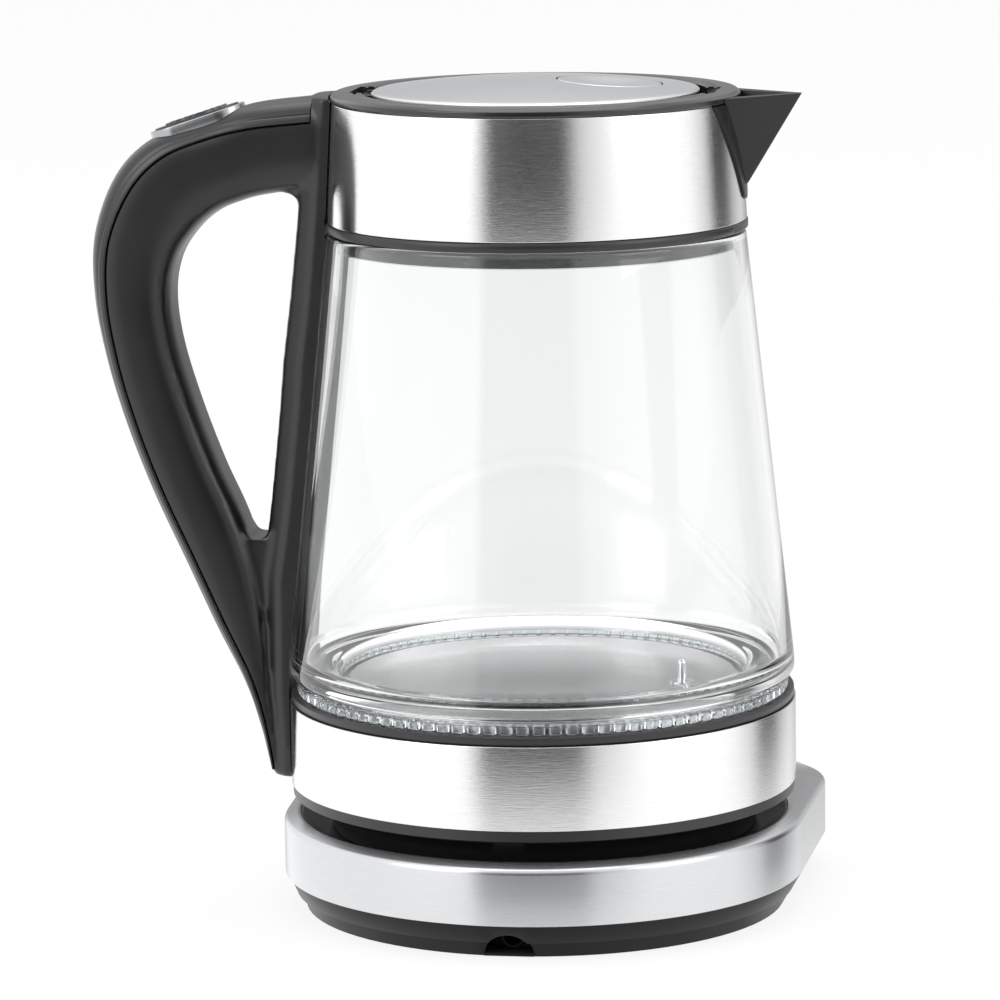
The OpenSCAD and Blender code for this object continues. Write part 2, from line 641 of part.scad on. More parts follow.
module top_collar() color([0.22, 0.22, 0.23]) difference() {
    union() {
        rotate_extrude($fn = 120) polygon([
            [opening_r, skirt_z], [opening_r + 1.6, skirt_z], [opening_r + 1.6, upper_hi_z - 2],
            [band_out(upper_hi_z) - band_t - 3, upper_hi_z - 1.9 + 0.2], [band_out(upper_hi_z) - band_t - 0.8, upper_hi_z - 1.7],
            [band_out(upper_hi_z) - band_t - 0.3, upper_hi_z + seat], [upper_band_r, upper_hi_z + seat],
            [upper_band_r + 0.3, upper_hi_z + 0.6], [upper_band_r + 0.2, collar_z - 0.9],
            [upper_band_r - 0.9, collar_z - 0.1], [upper_band_r - 1.6, collar_z], [opening_r + 0.5, collar_z],
            [opening_r, collar_z - 0.5]]);
        for (s = [-1, 1]) translate([pin_x - 2.6, s * (notch_half + 1.6) - 1.5, pin_z - 3])
            cube([5.2 - 2, 3, 3.2]);
    }
    rotate([0, 0, 180]) finger_notch(pin_z - knuckle_r - 0.4);
    finger_notch(upper_hi_z);
    translate([pin_x, pin_half + 0.2, pin_z]) rotate([90, 0, 0]) cylinder(r = pin_r + pin_clear, h = 2 * pin_half + 0.4, $fn = 48);
    latch_slot(0.5);
}

module hinge_pin() color([0.75, 0.75, 0.76])
    translate([pin_x, pin_half, pin_z]) rotate([90, 0, 0]) cylinder(r = pin_r, h = 2 * pin_half, $fn = 48);

spring_wire = 0.35;
spring_coil_r = pin_r + 0.15 + spring_wire;
module lid_spring() color([0.7, 0.7, 0.72]) {
    turns = 5;
    steps = 12;
    sides = 8;
    n = turns * steps;
    pts = [for (i = [0:n]) for (k = [0:sides - 1]) let (a = i * 360 / steps, b = k * 360 / sides,
        r = spring_coil_r + spring_wire * cos(b))
        [pin_x + r * cos(a), -spring_half + 2 * spring_half * i / n + spring_wire * sin(b), pin_z + r * sin(a)]];
    faces = [for (i = [0:n - 1]) for (k = [0:sides - 1]) let (j = (k + 1) % sides)
        [i * sides + k, i * sides + j, (i + 1) * sides + j, (i + 1) * sides + k]];
    polyhedron(pts, concat(faces, [[for (k = [sides - 1:-1:0]) k]],
        [[for (k = [0:sides - 1]) n * sides + k]]), convexity = 8);
}

chord_x = -(lid_r - 0.9);
dome_r = (lid_r * lid_r + lid_rise * lid_rise) / (2 * lid_rise);
module lid_plate() color([0.82, 0.82, 0.83]) difference() {
    intersection() {
        translate([0, 0, lid_plate_z]) cylinder(r = lid_r, h = 20, $fn = 120);
        translate([0, 0, lid_plate_z + lid_t + lid_rise - dome_r]) sphere(r = dome_r, $fn = 360);
        translate([0, 0, lid_plate_z]) cylinder(r1 = lid_r, r2 = lid_r - 12, h = 12, $fn = 120);
    }
    translate([press_x, 0, lid_plate_z - 1]) cylinder(r = press_r + 0.2, h = 20);
    translate([chord_x - 20, -lid_r, lid_plate_z - 5]) cube([20, 2 * lid_r, 30]);
}

press_z = lid_plate_z + lid_t + lid_rise * 0.5;
module lid_press_disc() color([0.8, 0.8, 0.81]) difference() {
    translate([press_x, 0, lid_plate_z + seat]) cylinder(r = press_r, h = press_z - lid_plate_z - seat);
    translate([press_x, 0, press_z + 60 - 1.1]) sphere(r = 60, $fn = 240);
}

inner_r = lid_r - 2.5;
lid_lo_z = skirt_z - 0.2;
keeper_t = 1.3;
keeper_z = latch_z - gap - keeper_t;
module lid_inner() color([0.1, 0.1, 0.11]) difference() {
    union() {
        difference() {
            rotate_extrude($fn = 120) polygon([
                [0, lid_lo_z], [lid_r + 0.5, lid_lo_z], [lid_r + 0.5, lid_lo_z + 1],
                [inner_r - 1, lid_lo_z + 1.2], [inner_r - 1, lid_lo_z + 4], [inner_r, lid_lo_z + 4.2],
                [inner_r, lid_plate_z - seat], [0, lid_plate_z - seat]]);
            translate([chord_x - 20, -lid_r, lid_lo_z + 5]) cube([20, 2 * lid_r, 30]);
            // Underside is dished
            translate([0, 0, lid_lo_z - 1]) cylinder(r = inner_r - 4, h = 6);
        }
        for (s = [-1, 1]) {
            translate([pin_x, s * (knuckle_y + knuckle_w / 2) + knuckle_w / 2, pin_z]) rotate([90, 0, 0])
                cylinder(r = knuckle_r, h = knuckle_w, $fn = 48);
            translate([pin_x, s * (knuckle_y + knuckle_w / 2) - knuckle_w / 2, pin_z - 0.6])
                cube([10, knuckle_w, knuckle_r + 0.6]);
        }
    }
    keeper(fit);
    translate([pin_x, 20, pin_z]) rotate([90, 0, 0]) cylinder(r = pin_r + pin_clear, h = 40, $fn = 48);
}

// Steel keeper under the latch, let into the lid
module keeper(g) translate([-inner_r - 3.2, -3 - g, keeper_z - g]) cube([5.2 + g, 6 + 2 * g, keeper_t + 2 * g]);
module lid_keeper() color([0.7, 0.7, 0.72]) keeper(0);

module lid_seal() color([0.85, 0.85, 0.84]) rotate_extrude($fn = 120) polygon([
    [inner_r - 0.9, lid_lo_z + 1.3], [inner_r + 0.6, lid_lo_z + 1.3], [opening_r - 0.7, lid_lo_z + 2],
    [opening_r - 0.6, lid_lo_z + 2.6], [inner_r + 0.4, lid_lo_z + 3.8], [inner_r - 0.9, lid_lo_z + 3.8]]);

// ---------------------------------------------------------------- spout

module spout() color([0.12, 0.12, 0.13]) {
    top_z = collar_z - 1.2;
    root_x = band_out(upper_hi_z) * cos(22) - 1.5;
    root_y = spout_half_w - 3.6;
    keel_z = upper_lo_z + spout_sill + 5;
    keel_x = band_out(keel_z) + 1.4;
    difference() {
        union() {
            // Flange that fills the opening in the band
            intersection() {
                along_x(0.25);
                rotate_extrude($fn = 120) polygon([
                    [band_out(upper_lo_z) - band_t, upper_lo_z], [band_out(upper_lo_z) + 0.7, upper_lo_z],
                    [band_out(upper_hi_z) + 0.7, upper_hi_z - seat], [band_out(upper_hi_z) - band_t, upper_hi_z - seat]]);
            }
            // Beak
            polyhedron(
                [[root_x, root_y, top_z], [root_x, -root_y, top_z], [spout_x, -0.9, top_z + 0.3], [spout_x, 0.9, top_z + 0.3],
                 [band_out(keel_z) - 0.4, 5, keel_z - 1], [band_out(keel_z) - 0.4, -5, keel_z - 1],
                 [keel_x, 0.7, keel_z], [keel_x, -0.7, keel_z]],
                [[0, 3, 2, 1], [0, 4, 6], [0, 6, 3], [1, 7, 5], [1, 2, 7], [2, 3, 6, 7], [4, 5, 7, 6], [0, 1, 5, 4]]);
        }
        // Channel, open at the top
        polyhedron(
            [[root_x - 6, root_y - spout_t, top_z + 2], [root_x - 6, -root_y + spout_t, top_z + 2],
             [spout_x - 3.4, -0.3, top_z + 2], [spout_x - 3.4, 0.3, top_z + 2],
             [root_x - 6, 3, keel_z + 1.5], [root_x - 6, -3, keel_z + 1.5],
             [keel_x - 0.4, 0.3, keel_z + 3.4], [keel_x - 0.4, -0.3, keel_z + 3.4]],
            [[0, 3, 2, 1], [0, 4, 6], [0, 6, 3], [1, 7, 5], [1, 2, 7], [2, 3, 6, 7], [4, 5, 7, 6], [0, 1, 5, 4]]);
        // Room for the ring round the lid and for the neck behind it
        translate([0, 0, upper_hi_z]) cylinder(r = upper_band_r + 0.5, h = 10, $fn = 120);
        rotate_extrude($fn = 120) polygon([[0, upper_lo_z - 1], [band_out(upper_lo_z) - band_t, upper_lo_z - 1],
            [band_out(upper_hi_z) - band_t, upper_hi_z + 0.1], [0, upper_hi_z + 0.1]]);
    }
}

// ---------------------------------------------------------------- handle

handle_lo_z = foot_z + 2.2;
handle_hi_z = collar_z - 1.2;
handle_h = handle_hi_z - handle_lo_z;
function wall_ref(t) = lower_band_r + (upper_band_r - lower_band_r) * t;

// Stations of the grip, from the neck round to the foot: height of the outer edge as a share of the
// handle, its reach from the body, the same two for the inner edge, half width, depth of the cover
stations = [
    [0.996, 8.4, 0.858, 12, 0.90, 7],
    [0.986, 25, 0.853, 21, 0.93, 7.4],
    [0.962, 39.5, 0.846, 27, 0.96, 8.5],
    [0.937, 55.5, 0.832, 34, 1.00, 11],
    [0.885, 66.8, 0.806, 40.5, 1.00, 12.8],
    [0.800, 73.1, 0.765, 45.8, 1.00, 10.6],
    [0.710, 72.7, 0.710, 47.2, 1.00, 7.8],
    [0.615, 67.7, 0.640, 44.4, 1.00, 7],
    [0.520, 60.4, 0.555, 37.9, 1.00, 6.8],
    [0.420, 51.3, 0.465, 29.3, 1.00, 6.4],
    [0.320, 40, 0.375, 19.4, 1.00, 6],
    [0.225, 29.2, 0.270, 14.5, 0.98, 5.8],
    [0.145, 19.2, 0.170, 11.8, 0.95, 5.6],
    [0.080, 13.4, 0.090, 8.4, 0.90, 4.4],
    [0.015, 9.9, 0.015, 5.2, 0.82, 3.4]];
steps_per_station = 3;

// Catmull-Rom curve through the stations
function station(i) = stations[max(0, min(len(stations) - 1, i))];
function curve(a, b, c, d, t) = 0.5 * (2 * b + (c - a) * t + (2 * a - 5 * b + 4 * c - d) * t * t
    + (3 * b - a - 3 * c + d) * t * t * t);
function along(s) = let (i = floor(s)) curve(station(i - 1), station(i), station(i + 1), station(i + 2), s - i);
ring_at = [for (k = [0:(len(stations) - 1) * steps_per_station]) along(k / steps_per_station)];
function edge_pt(t, reach) = [-(wall_ref(t) + reach * grip_reach), handle_lo_z + handle_h * t];

// Rounded section between two shares of the way from the inner (-1) to the outer edge (1)
round_n = 3;
function section_half(u0, u1, side) = [for (i = [0:7]) let (c = -cos(180 * i / 7),
    u = u0 + (u1 - u0) * (c + 1) / 2)
    [u, side * pow(max(0, 1 - pow(abs(u), round_n)), 1 / round_n)]];
function section(u0, u1) = concat(section_half(u0, u1, 1), section_half(u1, u0, -1));
function ring_pts(s, u0, u1, grow) = let (o = edge_pt(s[0], s[1]), i = edge_pt(s[2], s[3]),
    m = (o + i) / 2, h = (o - i) / 2, w = s[4] * grip_half_w + grow)
    [for (p = section(u0, u1)) [m[0] + h[0] * p[0], w * p[1], m[1] + h[1] * p[0]]];
function seam_u(s) = let (l = norm(edge_pt(s[0], s[1]) - edge_pt(s[2], s[3]))) 1 - 2 * min(s[5], l - 1.2) / l;
function gap_u(s) = 2 * seam_gap / norm(edge_pt(s[0], s[1]) - edge_pt(s[2], s[3]));

module skin(rings) {
    n = len(rings[0]);
    m = len(rings);
    points = [for (r = rings) for (p = r) p];
    sides = [for (k = [0:m - 2]) for (i = [0:n - 1]) let (j = (i + 1) % n)
        each [[k * n + i, (k + 1) * n + j, (k + 1) * n + i], [k * n + i, k * n + j, (k + 1) * n + j]]];
    polyhedron(points, concat(sides, [[for (i = [n - 1:-1:0]) i]], [[for (i = [0:n - 1]) (m - 1) * n + i]]),
        convexity = 10);
}

// Everything of the body that the handle runs along, grown by g
module body_envelope(g) rotate_extrude($fn = 120) polygon([
    [0, foot_z - 20], [lower_band_r + g, foot_z - 20], [lower_band_r + g, light_z],
    [glass_r + g, light_z], [glass_r + g, glass_z + 4.5],
    [glass_out(glass_top_z) + g, glass_top_z - 2], [ring_a_r + g, glass_top_z - 2],
    [ring_a_r + g, upper_lo_z + 1], [upper_foot_r + g, upper_lo_z + 1], [band_out(upper_hi_z) + g, upper_hi_z],
    [upper_band_r + 0.5 + g, upper_hi_z], [upper_band_r + 0.5 + g, collar_z + 5], [0, collar_z + 5]]);

// Post along the glass: sections [height share, thickness]
post_at = [[0.0, 0.94], [0.012, 1.0], [0.14, 0.98], [0.30, 1.18], [0.365, 1.14], [0.42, 1.0],
    [0.62, 1.0], [0.80, 1.02], [0.87, 1.1], [0.94, 0.7], [0.99, 0.55]];
module post_section(i) {
    t = post_at[i][0];
    x1 = -(wall_ref(t) - 4);
    x0 = -(wall_ref(t) + 1 + post_t * post_at[i][1]);
    half = grip_half_w * (t < 0.02 ? 0.86 : 0.96);
    translate([0, 0, handle_lo_z + handle_h * t]) linear_extrude(0.5) hull() {
        for (s = [-1, 1]) translate([x0 + 3, s * (half - 3)]) circle(r = 3, $fn = 24);
        translate([x1 - 1, -half]) square([1, 2 * half]);
    }
}

module handle_body() color([0.1, 0.1, 0.11]) difference() {
    union() {
        skin([for (s = ring_at) ring_pts(s, -1, seam_u(s), 0)]);
        for (i = [0:len(post_at) - 2]) hull() {
            post_section(i);
            post_section(i + 1);
        }
    }
    body_envelope(post_gap);
    cover_room();
    button_pocket();
    latch_path(gap);
    for (i = [0:1]) translate([0, 0, handle_screw_z[i]]) rotate([0, -90, 0])
        cylinder(r = screw_r + 0.1, h = wall_ref(i) + 9, $fn = 24);
}

// What the post must leave free for the cover
module cover_room() skin([for (s = ring_at) ring_pts(s, seam_u(s) - 0.001, 1, 2)]);

cover_end_x = -(wall_ref(1) + 5.6);
module handle_cover() color([0.12, 0.12, 0.13]) difference() {
    skin([for (s = ring_at) ring_pts(s, seam_u(s) + gap_u(s), 1, 0)]);
    translate([cover_end_x, -50, handle_hi_z - 30]) cube([60, 100, 60]);
    body_envelope(post_gap);
    button_pocket();
    bezel_room();
    latch_path(gap);
}

module handle_screws() color([0.6, 0.6, 0.62]) {
    heads = [lower_band_r - band_t - 2.6, sleeve_r - 1.8 + 0.2];
    for (i = [0:1]) translate([0, 0, handle_screw_z[i]]) rotate([0, -90, 0]) {
        translate([0, 0, heads[i] - 1.8]) cylinder(r = 2.8, h = 1.8);
        translate([0, 0, heads[i] - eps]) cylinder(r = screw_r, h = 10);
    }
}

// Release button, in a frame whose x runs up the slope of the handle's top
button_a = 18;
button_at = [-(wall_ref(1) + 42.1), handle_hi_z - 8.8];
button_l = bezel_l - 2 * bezel_t - 2 * gap;
button_w = bezel_w - 2 * bezel_t - 2 * gap;
module on_slope() translate([button_at[0], 0, button_at[1]]) rotate([0, -button_a, 0]) children();
module stadium(l, w) {
    translate([-(l - w) / 2, -w / 2]) square([l - w, w]);
    for (s = [-1, 1]) translate([s * (l - w) / 2, 0]) circle(d = w, $fn = 48);
}
module stadium_solid(l, w, z0, z1) on_slope() translate([0, 0, z0]) linear_extrude(z1 - z0) stadium(l, w);
button_skirt = 3;
pocket_z = -(button_skirt + press_travel + 0.6);
bezel_lo = -2.2;
bezel_hi = 1.7;
module button_pocket() stadium_solid(button_l + 2 * gap, button_w + 2 * gap, pocket_z, 12);
module bezel_room() stadium_solid(bezel_l + 2 * seat, bezel_w + 2 * seat, bezel_lo - seat, 12);

module button_bezel() color([0.85, 0.85, 0.86]) difference() {
    stadium_solid(bezel_l, bezel_w, bezel_lo, bezel_hi);
    stadium_solid(bezel_l - 2 * bezel_t, bezel_w - 2 * bezel_t, bezel_lo - 1, bezel_hi + 1);
}

ceiling = 0.6;
rib_pitch = (button_l - 8) / button_ribs;
module release_button() color([0.3, 0.3, 0.31]) difference() {
    union() {
        difference() {
            stadium_solid(button_l, button_w, -button_skirt, bezel_hi + 0.5);
            stadium_solid(button_l - 2.4, button_w - 2.4, -button_skirt - 1, ceiling);
        }
        for (i = [0:button_ribs - 1]) on_slope()
            translate([(i - (button_ribs - 1) / 2) * rib_pitch, 0, bezel_hi + 0.5 - 0.2])
                translate([-rib_pitch * 0.28, -(button_w - 5) / 2, 0]) cube([rib_pitch * 0.56, button_w - 5, 0.8]);
        // Cam that drives the latch back
        rotate([90, 0, 0]) translate([0, 0, -2.4]) linear_extrude(4.8) polygon([
            ramp_pt(cam_s0, fit), ramp_pt(cam_s1, fit),
            ramp_pt(cam_s1, fit) + cam_up * cam_len(cam_s1), ramp_pt(cam_s0, fit) + cam_up * cam_len(cam_s0)]);
    }
}

// Ramp of the latch: its slope makes the latch move as far as the button
ramp_n = 45 + button_a / 2;
ramp_dir = [-sin(ramp_n), cos(ramp_n)];
ramp_out = [cos(ramp_n), sin(ramp_n)];
ramp_foot = [button_at[0] + 4.6, button_at[1] - 9.8];
cam_s0 = press_travel * 1.618 + 0.1;
cam_s1 = cam_s0 + 3.6;
cam_up = [-sin(button_a), cos(button_a)];
function ramp_pt(s, d) = ramp_foot + ramp_dir * s + ramp_out * d;
function cam_len(s) = (ceiling + 0.4 - (ramp_pt(s, fit) - button_at) * cam_up);

web_x = button_at[0] + 21.6;
bar_t = 2.8;
module latch_slider() color([0.9, 0.9, 0.88]) rotate([90, 0, 0]) translate([0, 0, -latch_half])
    linear_extrude(2 * latch_half) polygon([
        ramp_pt(cam_s1, 0), ramp_pt(cam_s1, 0) - [0.5, 0],
        [ramp_pt(cam_s1, 0)[0] - 0.5, ramp_foot[1] - bar_t],
        [web_x + 3, ramp_foot[1] - bar_t], [web_x + 3, latch_z], [latch_tip_x, latch_z],
        [latch_tip_x, latch_z + latch_t - 1], [latch_tip_x - 1, latch_z + latch_t], [web_x, latch_z + latch_t],
        [web_x, ramp_foot[1]], ramp_foot]);

// Room for the latch's travel, grown by g
module latch_path(g) {
    y = latch_half + g;
    x0 = ramp_pt(cam_s1, 0)[0] - 0.5 - press_travel - g;
    translate([x0, -y, ramp_foot[1] - bar_t - g]) cube([web_x + 3 + g - x0, 2 * y, bar_t + 2 * g]);
    translate([x0, -y, ramp_foot[1] - bar_t - g])
        cube([ramp_foot[0] + g - x0 + 2, 2 * y, ramp_pt(cam_s1, 0)[1] - ramp_foot[1] + bar_t + 2 * g + 3]);
    translate([web_x - press_travel - g, -y, ramp_foot[1] - bar_t - g])
        cube([press_travel + 3 + 2 * g, 2 * y, latch_z + latch_t - ramp_foot[1] + bar_t + 2 * g]);
    latch_slot(g);
}
module latch_slot(g) translate([web_x - press_travel - g, -latch_half - g, latch_z - g])
    cube([latch_tip_x + 6 - web_x + press_travel, 2 * (latch_half + g), latch_t + 2 * g]);

button_spring_x = 8.4;
module button_spring() color([0.7, 0.7, 0.72]) on_slope() {
    turns = 5;
    steps = 12;
    sides = 8;
    n = turns * steps;
    wire = 0.3;
    coil = 2;
    z0 = pocket_z + 0.4;
    z1 = ceiling - 0.4;
    pts = [for (i = [0:n]) for (k = [0:sides - 1]) let (a = i * 360 / steps, b = k * 360 / sides,
        r = coil + wire * cos(b))
        [button_spring_x + r * cos(a), r * sin(a), z0 + (z1 - z0) * i / n + wire * sin(b)]];
    faces = [for (i = [0:n - 1]) for (k = [0:sides - 1]) let (j = (k + 1) % sides)
        [i * sides + k, (i + 1) * sides + k, (i + 1) * sides + j, i * sides + j]];
    polyhedron(pts, concat(faces, [[for (k = [0:sides - 1]) k]],
        [[for (k = [sides - 1:-1:0]) n * sides + k]]), convexity = 8);
}

base_shell();
base_tray();
cord_gland();
rubber_feet();
base_screws();
base_deck();
base_coupler();
base_contacts();
control_panel();
display_window();
control_board();
power_key();
cooler_key();
hotter_key();
keep_warm_key();
kettle_connector();
connector_contacts();
bottom_cover();
bottom_screws();
lower_band();
lower_housing();
led_board();
light_ring();
heater_plate();
temperature_probe();
heating_element();
plate_seal();
glass_body();
glass_top_seal();
neck_housing();
upper_band();
spout();
spout_filter();
top_collar();
hinge_pin();
lid_spring();
lid_plate();
lid_press_disc();
lid_inner();
lid_keeper();
lid_seal();
handle_body();
handle_cover();
handle_screws();
button_bezel();
release_button();
button_spring();
latch_slider();
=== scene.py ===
"""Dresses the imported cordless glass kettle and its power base.

The kettle's axis is Z, the spout points along +X, the handle along -X and the
control strip of the base lies along +Y. Sizes are millimetres and angles are
degrees, unless a docstring says otherwise.
"""

import logging
import math
from collections.abc import Iterable, Sequence
from dataclasses import astuple, dataclass, field
from enum import Enum

import bmesh
import bpy
from mathutils import Matrix, Vector


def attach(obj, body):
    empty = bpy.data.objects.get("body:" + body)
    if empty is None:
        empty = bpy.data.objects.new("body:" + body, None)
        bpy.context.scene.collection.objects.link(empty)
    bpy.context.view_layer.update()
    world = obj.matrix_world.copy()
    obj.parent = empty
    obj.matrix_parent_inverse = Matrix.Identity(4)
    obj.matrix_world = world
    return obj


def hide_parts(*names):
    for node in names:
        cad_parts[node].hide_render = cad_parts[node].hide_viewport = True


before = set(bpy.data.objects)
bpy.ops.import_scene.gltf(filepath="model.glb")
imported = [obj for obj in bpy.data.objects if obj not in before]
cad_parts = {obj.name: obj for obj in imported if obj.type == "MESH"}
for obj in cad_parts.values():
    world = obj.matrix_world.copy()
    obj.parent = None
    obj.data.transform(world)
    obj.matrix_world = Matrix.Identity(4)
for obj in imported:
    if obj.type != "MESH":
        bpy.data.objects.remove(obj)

log = logging.getLogger("kettle")

MM = 0.001
ROUND_STEPS = 256
TOOL_STEPS = 240
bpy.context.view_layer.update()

Point = tuple[float, float]
Inputs = dict[str | int, object]
Piece = bpy.types.Object
Node = bpy.types.Node
Socket = bpy.types.NodeSocket
Tree = bpy.types.NodeTree
Solid = bmesh.types.BMesh


# ---------------------------------------------------------------- nodes


def linear(code: str, share: float = 1.0) -> tuple[float, float, float, float]:
    """Turns an sRGB hex colour such as "#c8c9cb" to linear RGBA.

    Args:
        code: the colour.
        share: what is left of its brightness.

    Returns:
        Red, green, blue and an alpha of 1.
    """
    values = [int(code[i : i + 2], 16) / 255 for i in (1, 3, 5)]
    turned = [v / 12.92 if v <= 0.04045 else ((v + 0.055) / 1.055) ** 2.4 for v in values]
    return (*(v * share for v in turned), 1.0)


def repeats(size: float) -> float:
    """Scale of a pattern that repeats once in a size."""
    return 1 / (size * MM)


def about(middle: float, spread: float) -> Inputs:
    """Range that takes most of a noise pattern, 0.3 to 0.7, to values about a middle one."""
    return {"From Min": 0.3, "From Max": 0.7, "To Min": middle - spread / 2, "To Max": middle + spread / 2}


def add(tree: Tree, kind: str, inputs: Inputs | None = None, stops: Sequence[Point] = (),
        **settings: object) -> Node:
    """Adds one node with its settings, links and colour stops.

    Args:
        tree: the tree that gets the node.
        kind: Blender's name of the node type.
        inputs: a value or an output socket for each input, by name or number.
        stops: positions and grey levels of a colour ramp, rising.
        **settings: properties of the node itself.

    Returns:
        The new node.
    """
    made = tree.nodes.new(kind)
    for name, value in settings.items():
        setattr(made, name, value)
    for name, value in (inputs or {}).items():
        if isinstance(value, Socket):
            tree.links.new(value, made.inputs[name])
        else:
            made.inputs[name].default_value = value
    if stops:
        marks = made.color_ramp.elements
        while len(marks) < len(stops):
            marks.new(1.0)
        for mark, (position, level) in zip(marks, stops):
            mark.position = position
            mark.color = (level, level, level, 1)
    return made


# ---------------------------------------------------------------- finishes


class Grain(Enum):
    """How a sheet was brushed: the size of its streaks along X, Y and Z.

    Real brushing is finer than 0.1 mm; the streaks are drawn as coarse as they need to show.
    """

    AROUND = (5.26316, 5.26316, 0.238095)
    ALONG_X = (16.6667, 0.3125, 0.3125)
    TURNED = (1.11111, 1.11111, 1.11111)


MADE: dict[str, bpy.types.Material] = {}


@dataclass(frozen=True)
class Finish:
    """A named surface finish; build() makes its material."""

    name: str
    colour: str

    def inputs(self, tree: Tree, place: Socket) -> Inputs:
        """Makes the patterns of the finish; each kind has its own.

        Args:
            tree: the material's tree.
            place: where a point lies on the piece, in metres.

        Returns:
            A value or a socket for each input of the shader.
        """
        raise NotImplementedError

    def output(self, tree: Tree, shader: Node) -> Socket:
        """What the material shows: its shader, unless a kind of finish adds to it."""
        return shader.outputs[0]

    def tones(self, share: float) -> Inputs:
        """The two ends of a colour mix: the finish's colour and a share of it."""
        return {"A": linear(self.colour), "B": linear(self.colour, share)}

    def build(self) -> bpy.types.Material:
        """Makes the material of this finish, once.

        Returns:
            The material.
        """
        if self.name in MADE:
            return MADE[self.name]
        made = MADE[self.name] = bpy.data.materials.new(self.name)
        made.use_nodes = True
        tree = made.node_tree
        tree.nodes.clear()
        place = add(tree, "ShaderNodeTexCoord").outputs["Object"]
        shader = add(tree, "ShaderNodeBsdfPrincipled", self.inputs(tree, place))
        add(tree, "ShaderNodeOutputMaterial", {"Surface": self.output(tree, shader)})
        return made


@dataclass(frozen=True)
class BrushedSteel(Finish):
    """Stainless sheet, satin brushed: long fine streaks that stretch each highlight across them."""

    grain: Grain = Grain.AROUND
    roughness: float = 0.19
    spread: float = 0.08
    stretch: float = 0.85
    relief: float = 0.16

    def inputs(self, tree: Tree, place: Socket) -> Inputs:
        """Streaks vary the roughness, the tone and the height of the surface.

        Args:
            tree: the material's tree.
            place: where a point lies on the piece.

        Returns:
            A value or a socket for each input of the shader.
        """
        scale = [repeats(size) for size in self.grain.value]
        mapped = add(tree, "ShaderNodeMapping", {"Vector": place, "Scale": scale})
        streak = add(tree, "ShaderNodeTexNoise", {"Vector": mapped.outputs[0], "Scale": 1.0, "Detail": 3.0,
                                                  "Roughness": 0.65}).outputs["Fac"]
        rough = add(tree, "ShaderNodeMapRange", {"Value": streak, **about(self.roughness, self.spread)})
        tone = add(tree, "ShaderNodeMix", {"Factor": streak, **self.tones(0.86)}, data_type="RGBA")
        height = add(tree, "ShaderNodeBump", {"Height": streak, "Strength": self.relief,
                                              "Distance": 0.2 * MM}).outputs[0]
        made = {"Metallic": 1.0, "Anisotropic": self.stretch, "Anisotropic Rotation": 0.25,
                "Base Color": tone.outputs["Result"], "Roughness": rough.outputs[0], "Normal": height}
        if self.grain is Grain.AROUND:
            made["Tangent"] = add(tree, "ShaderNodeTangent", direction_type="RADIAL", axis="Z").outputs[0]
        return made


@dataclass(frozen=True)
class PolishedMetal(Finish):
    """Plated, drawn or polished metal: a clean mirror with faint wipe marks."""

    roughness: float = 0.08
    wipe: float = 0.05

    def inputs(self, tree: Tree, place: Socket) -> Inputs:
        """Wipe marks about 3 mm wide vary the roughness.

        Args:
            tree: the material's tree.
            place: where a point lies on the piece.

        Returns:
            A value or a socket for each input of the shader.
        """
        marks = add(tree, "ShaderNodeTexNoise", {"Vector": place, "Scale": repeats(3.125), "Detail": 4.0})
        rough = add(tree, "ShaderNodeMapRange", {"Value": marks.outputs["Fac"], "To Min": self.roughness,
                                                 "To Max": self.roughness + self.wipe})
        return {"Metallic": 1.0, "Base Color": linear(self.colour), "Roughness": rough.outputs[0]}


@dataclass(frozen=True)
class MouldedPlastic(Finish):
    """Injection-moulded PP or ABS: the spark-eroded mould leaves an even fine grain that dulls highlights."""

    roughness: float = 0.42
    relief: float = 0.12
    gloss: float = 0.5
    coat: float = 0.0

    def inputs(self, tree: Tree, place: Socket) -> Inputs:
        """Grain of a third of a millimetre, with a slow drift of tone and roughness.

        Args:
            tree: the material's tree.
            place: where a point lies on the piece.

        Returns:
            A value or a socket for each input of the shader.
        """
        grain = add(tree, "ShaderNodeTexNoise", {"Vector": place, "Scale": repeats(0.35), "Detail": 2.0,
                                                 "Roughness": 0.6}).outputs["Fac"]
        drift = add(tree, "ShaderNodeTexNoise", {"Vector": place, "Scale": repeats(22.2222),
                                                 "Detail": 2.0}).outputs["Fac"]
        rough = add(tree, "ShaderNodeMapRange", {"Value": drift, **about(self.roughness, 0.06)})
        tone = add(tree, "ShaderNodeMix", {"Factor": drift, **self.tones(0.88)}, data_type="RGBA")
        height = add(tree, "ShaderNodeBump", {"Height": grain, "Strength": self.relief, "Distance": 0.1 * MM})
        return {"Base Color": tone.outputs["Result"], "Roughness": rough.outputs[0],
                "Normal": height.outputs[0], "Specular IOR Level": self.gloss, "Coat Weight": self.coat,
                "Coat Roughness": 0.04}


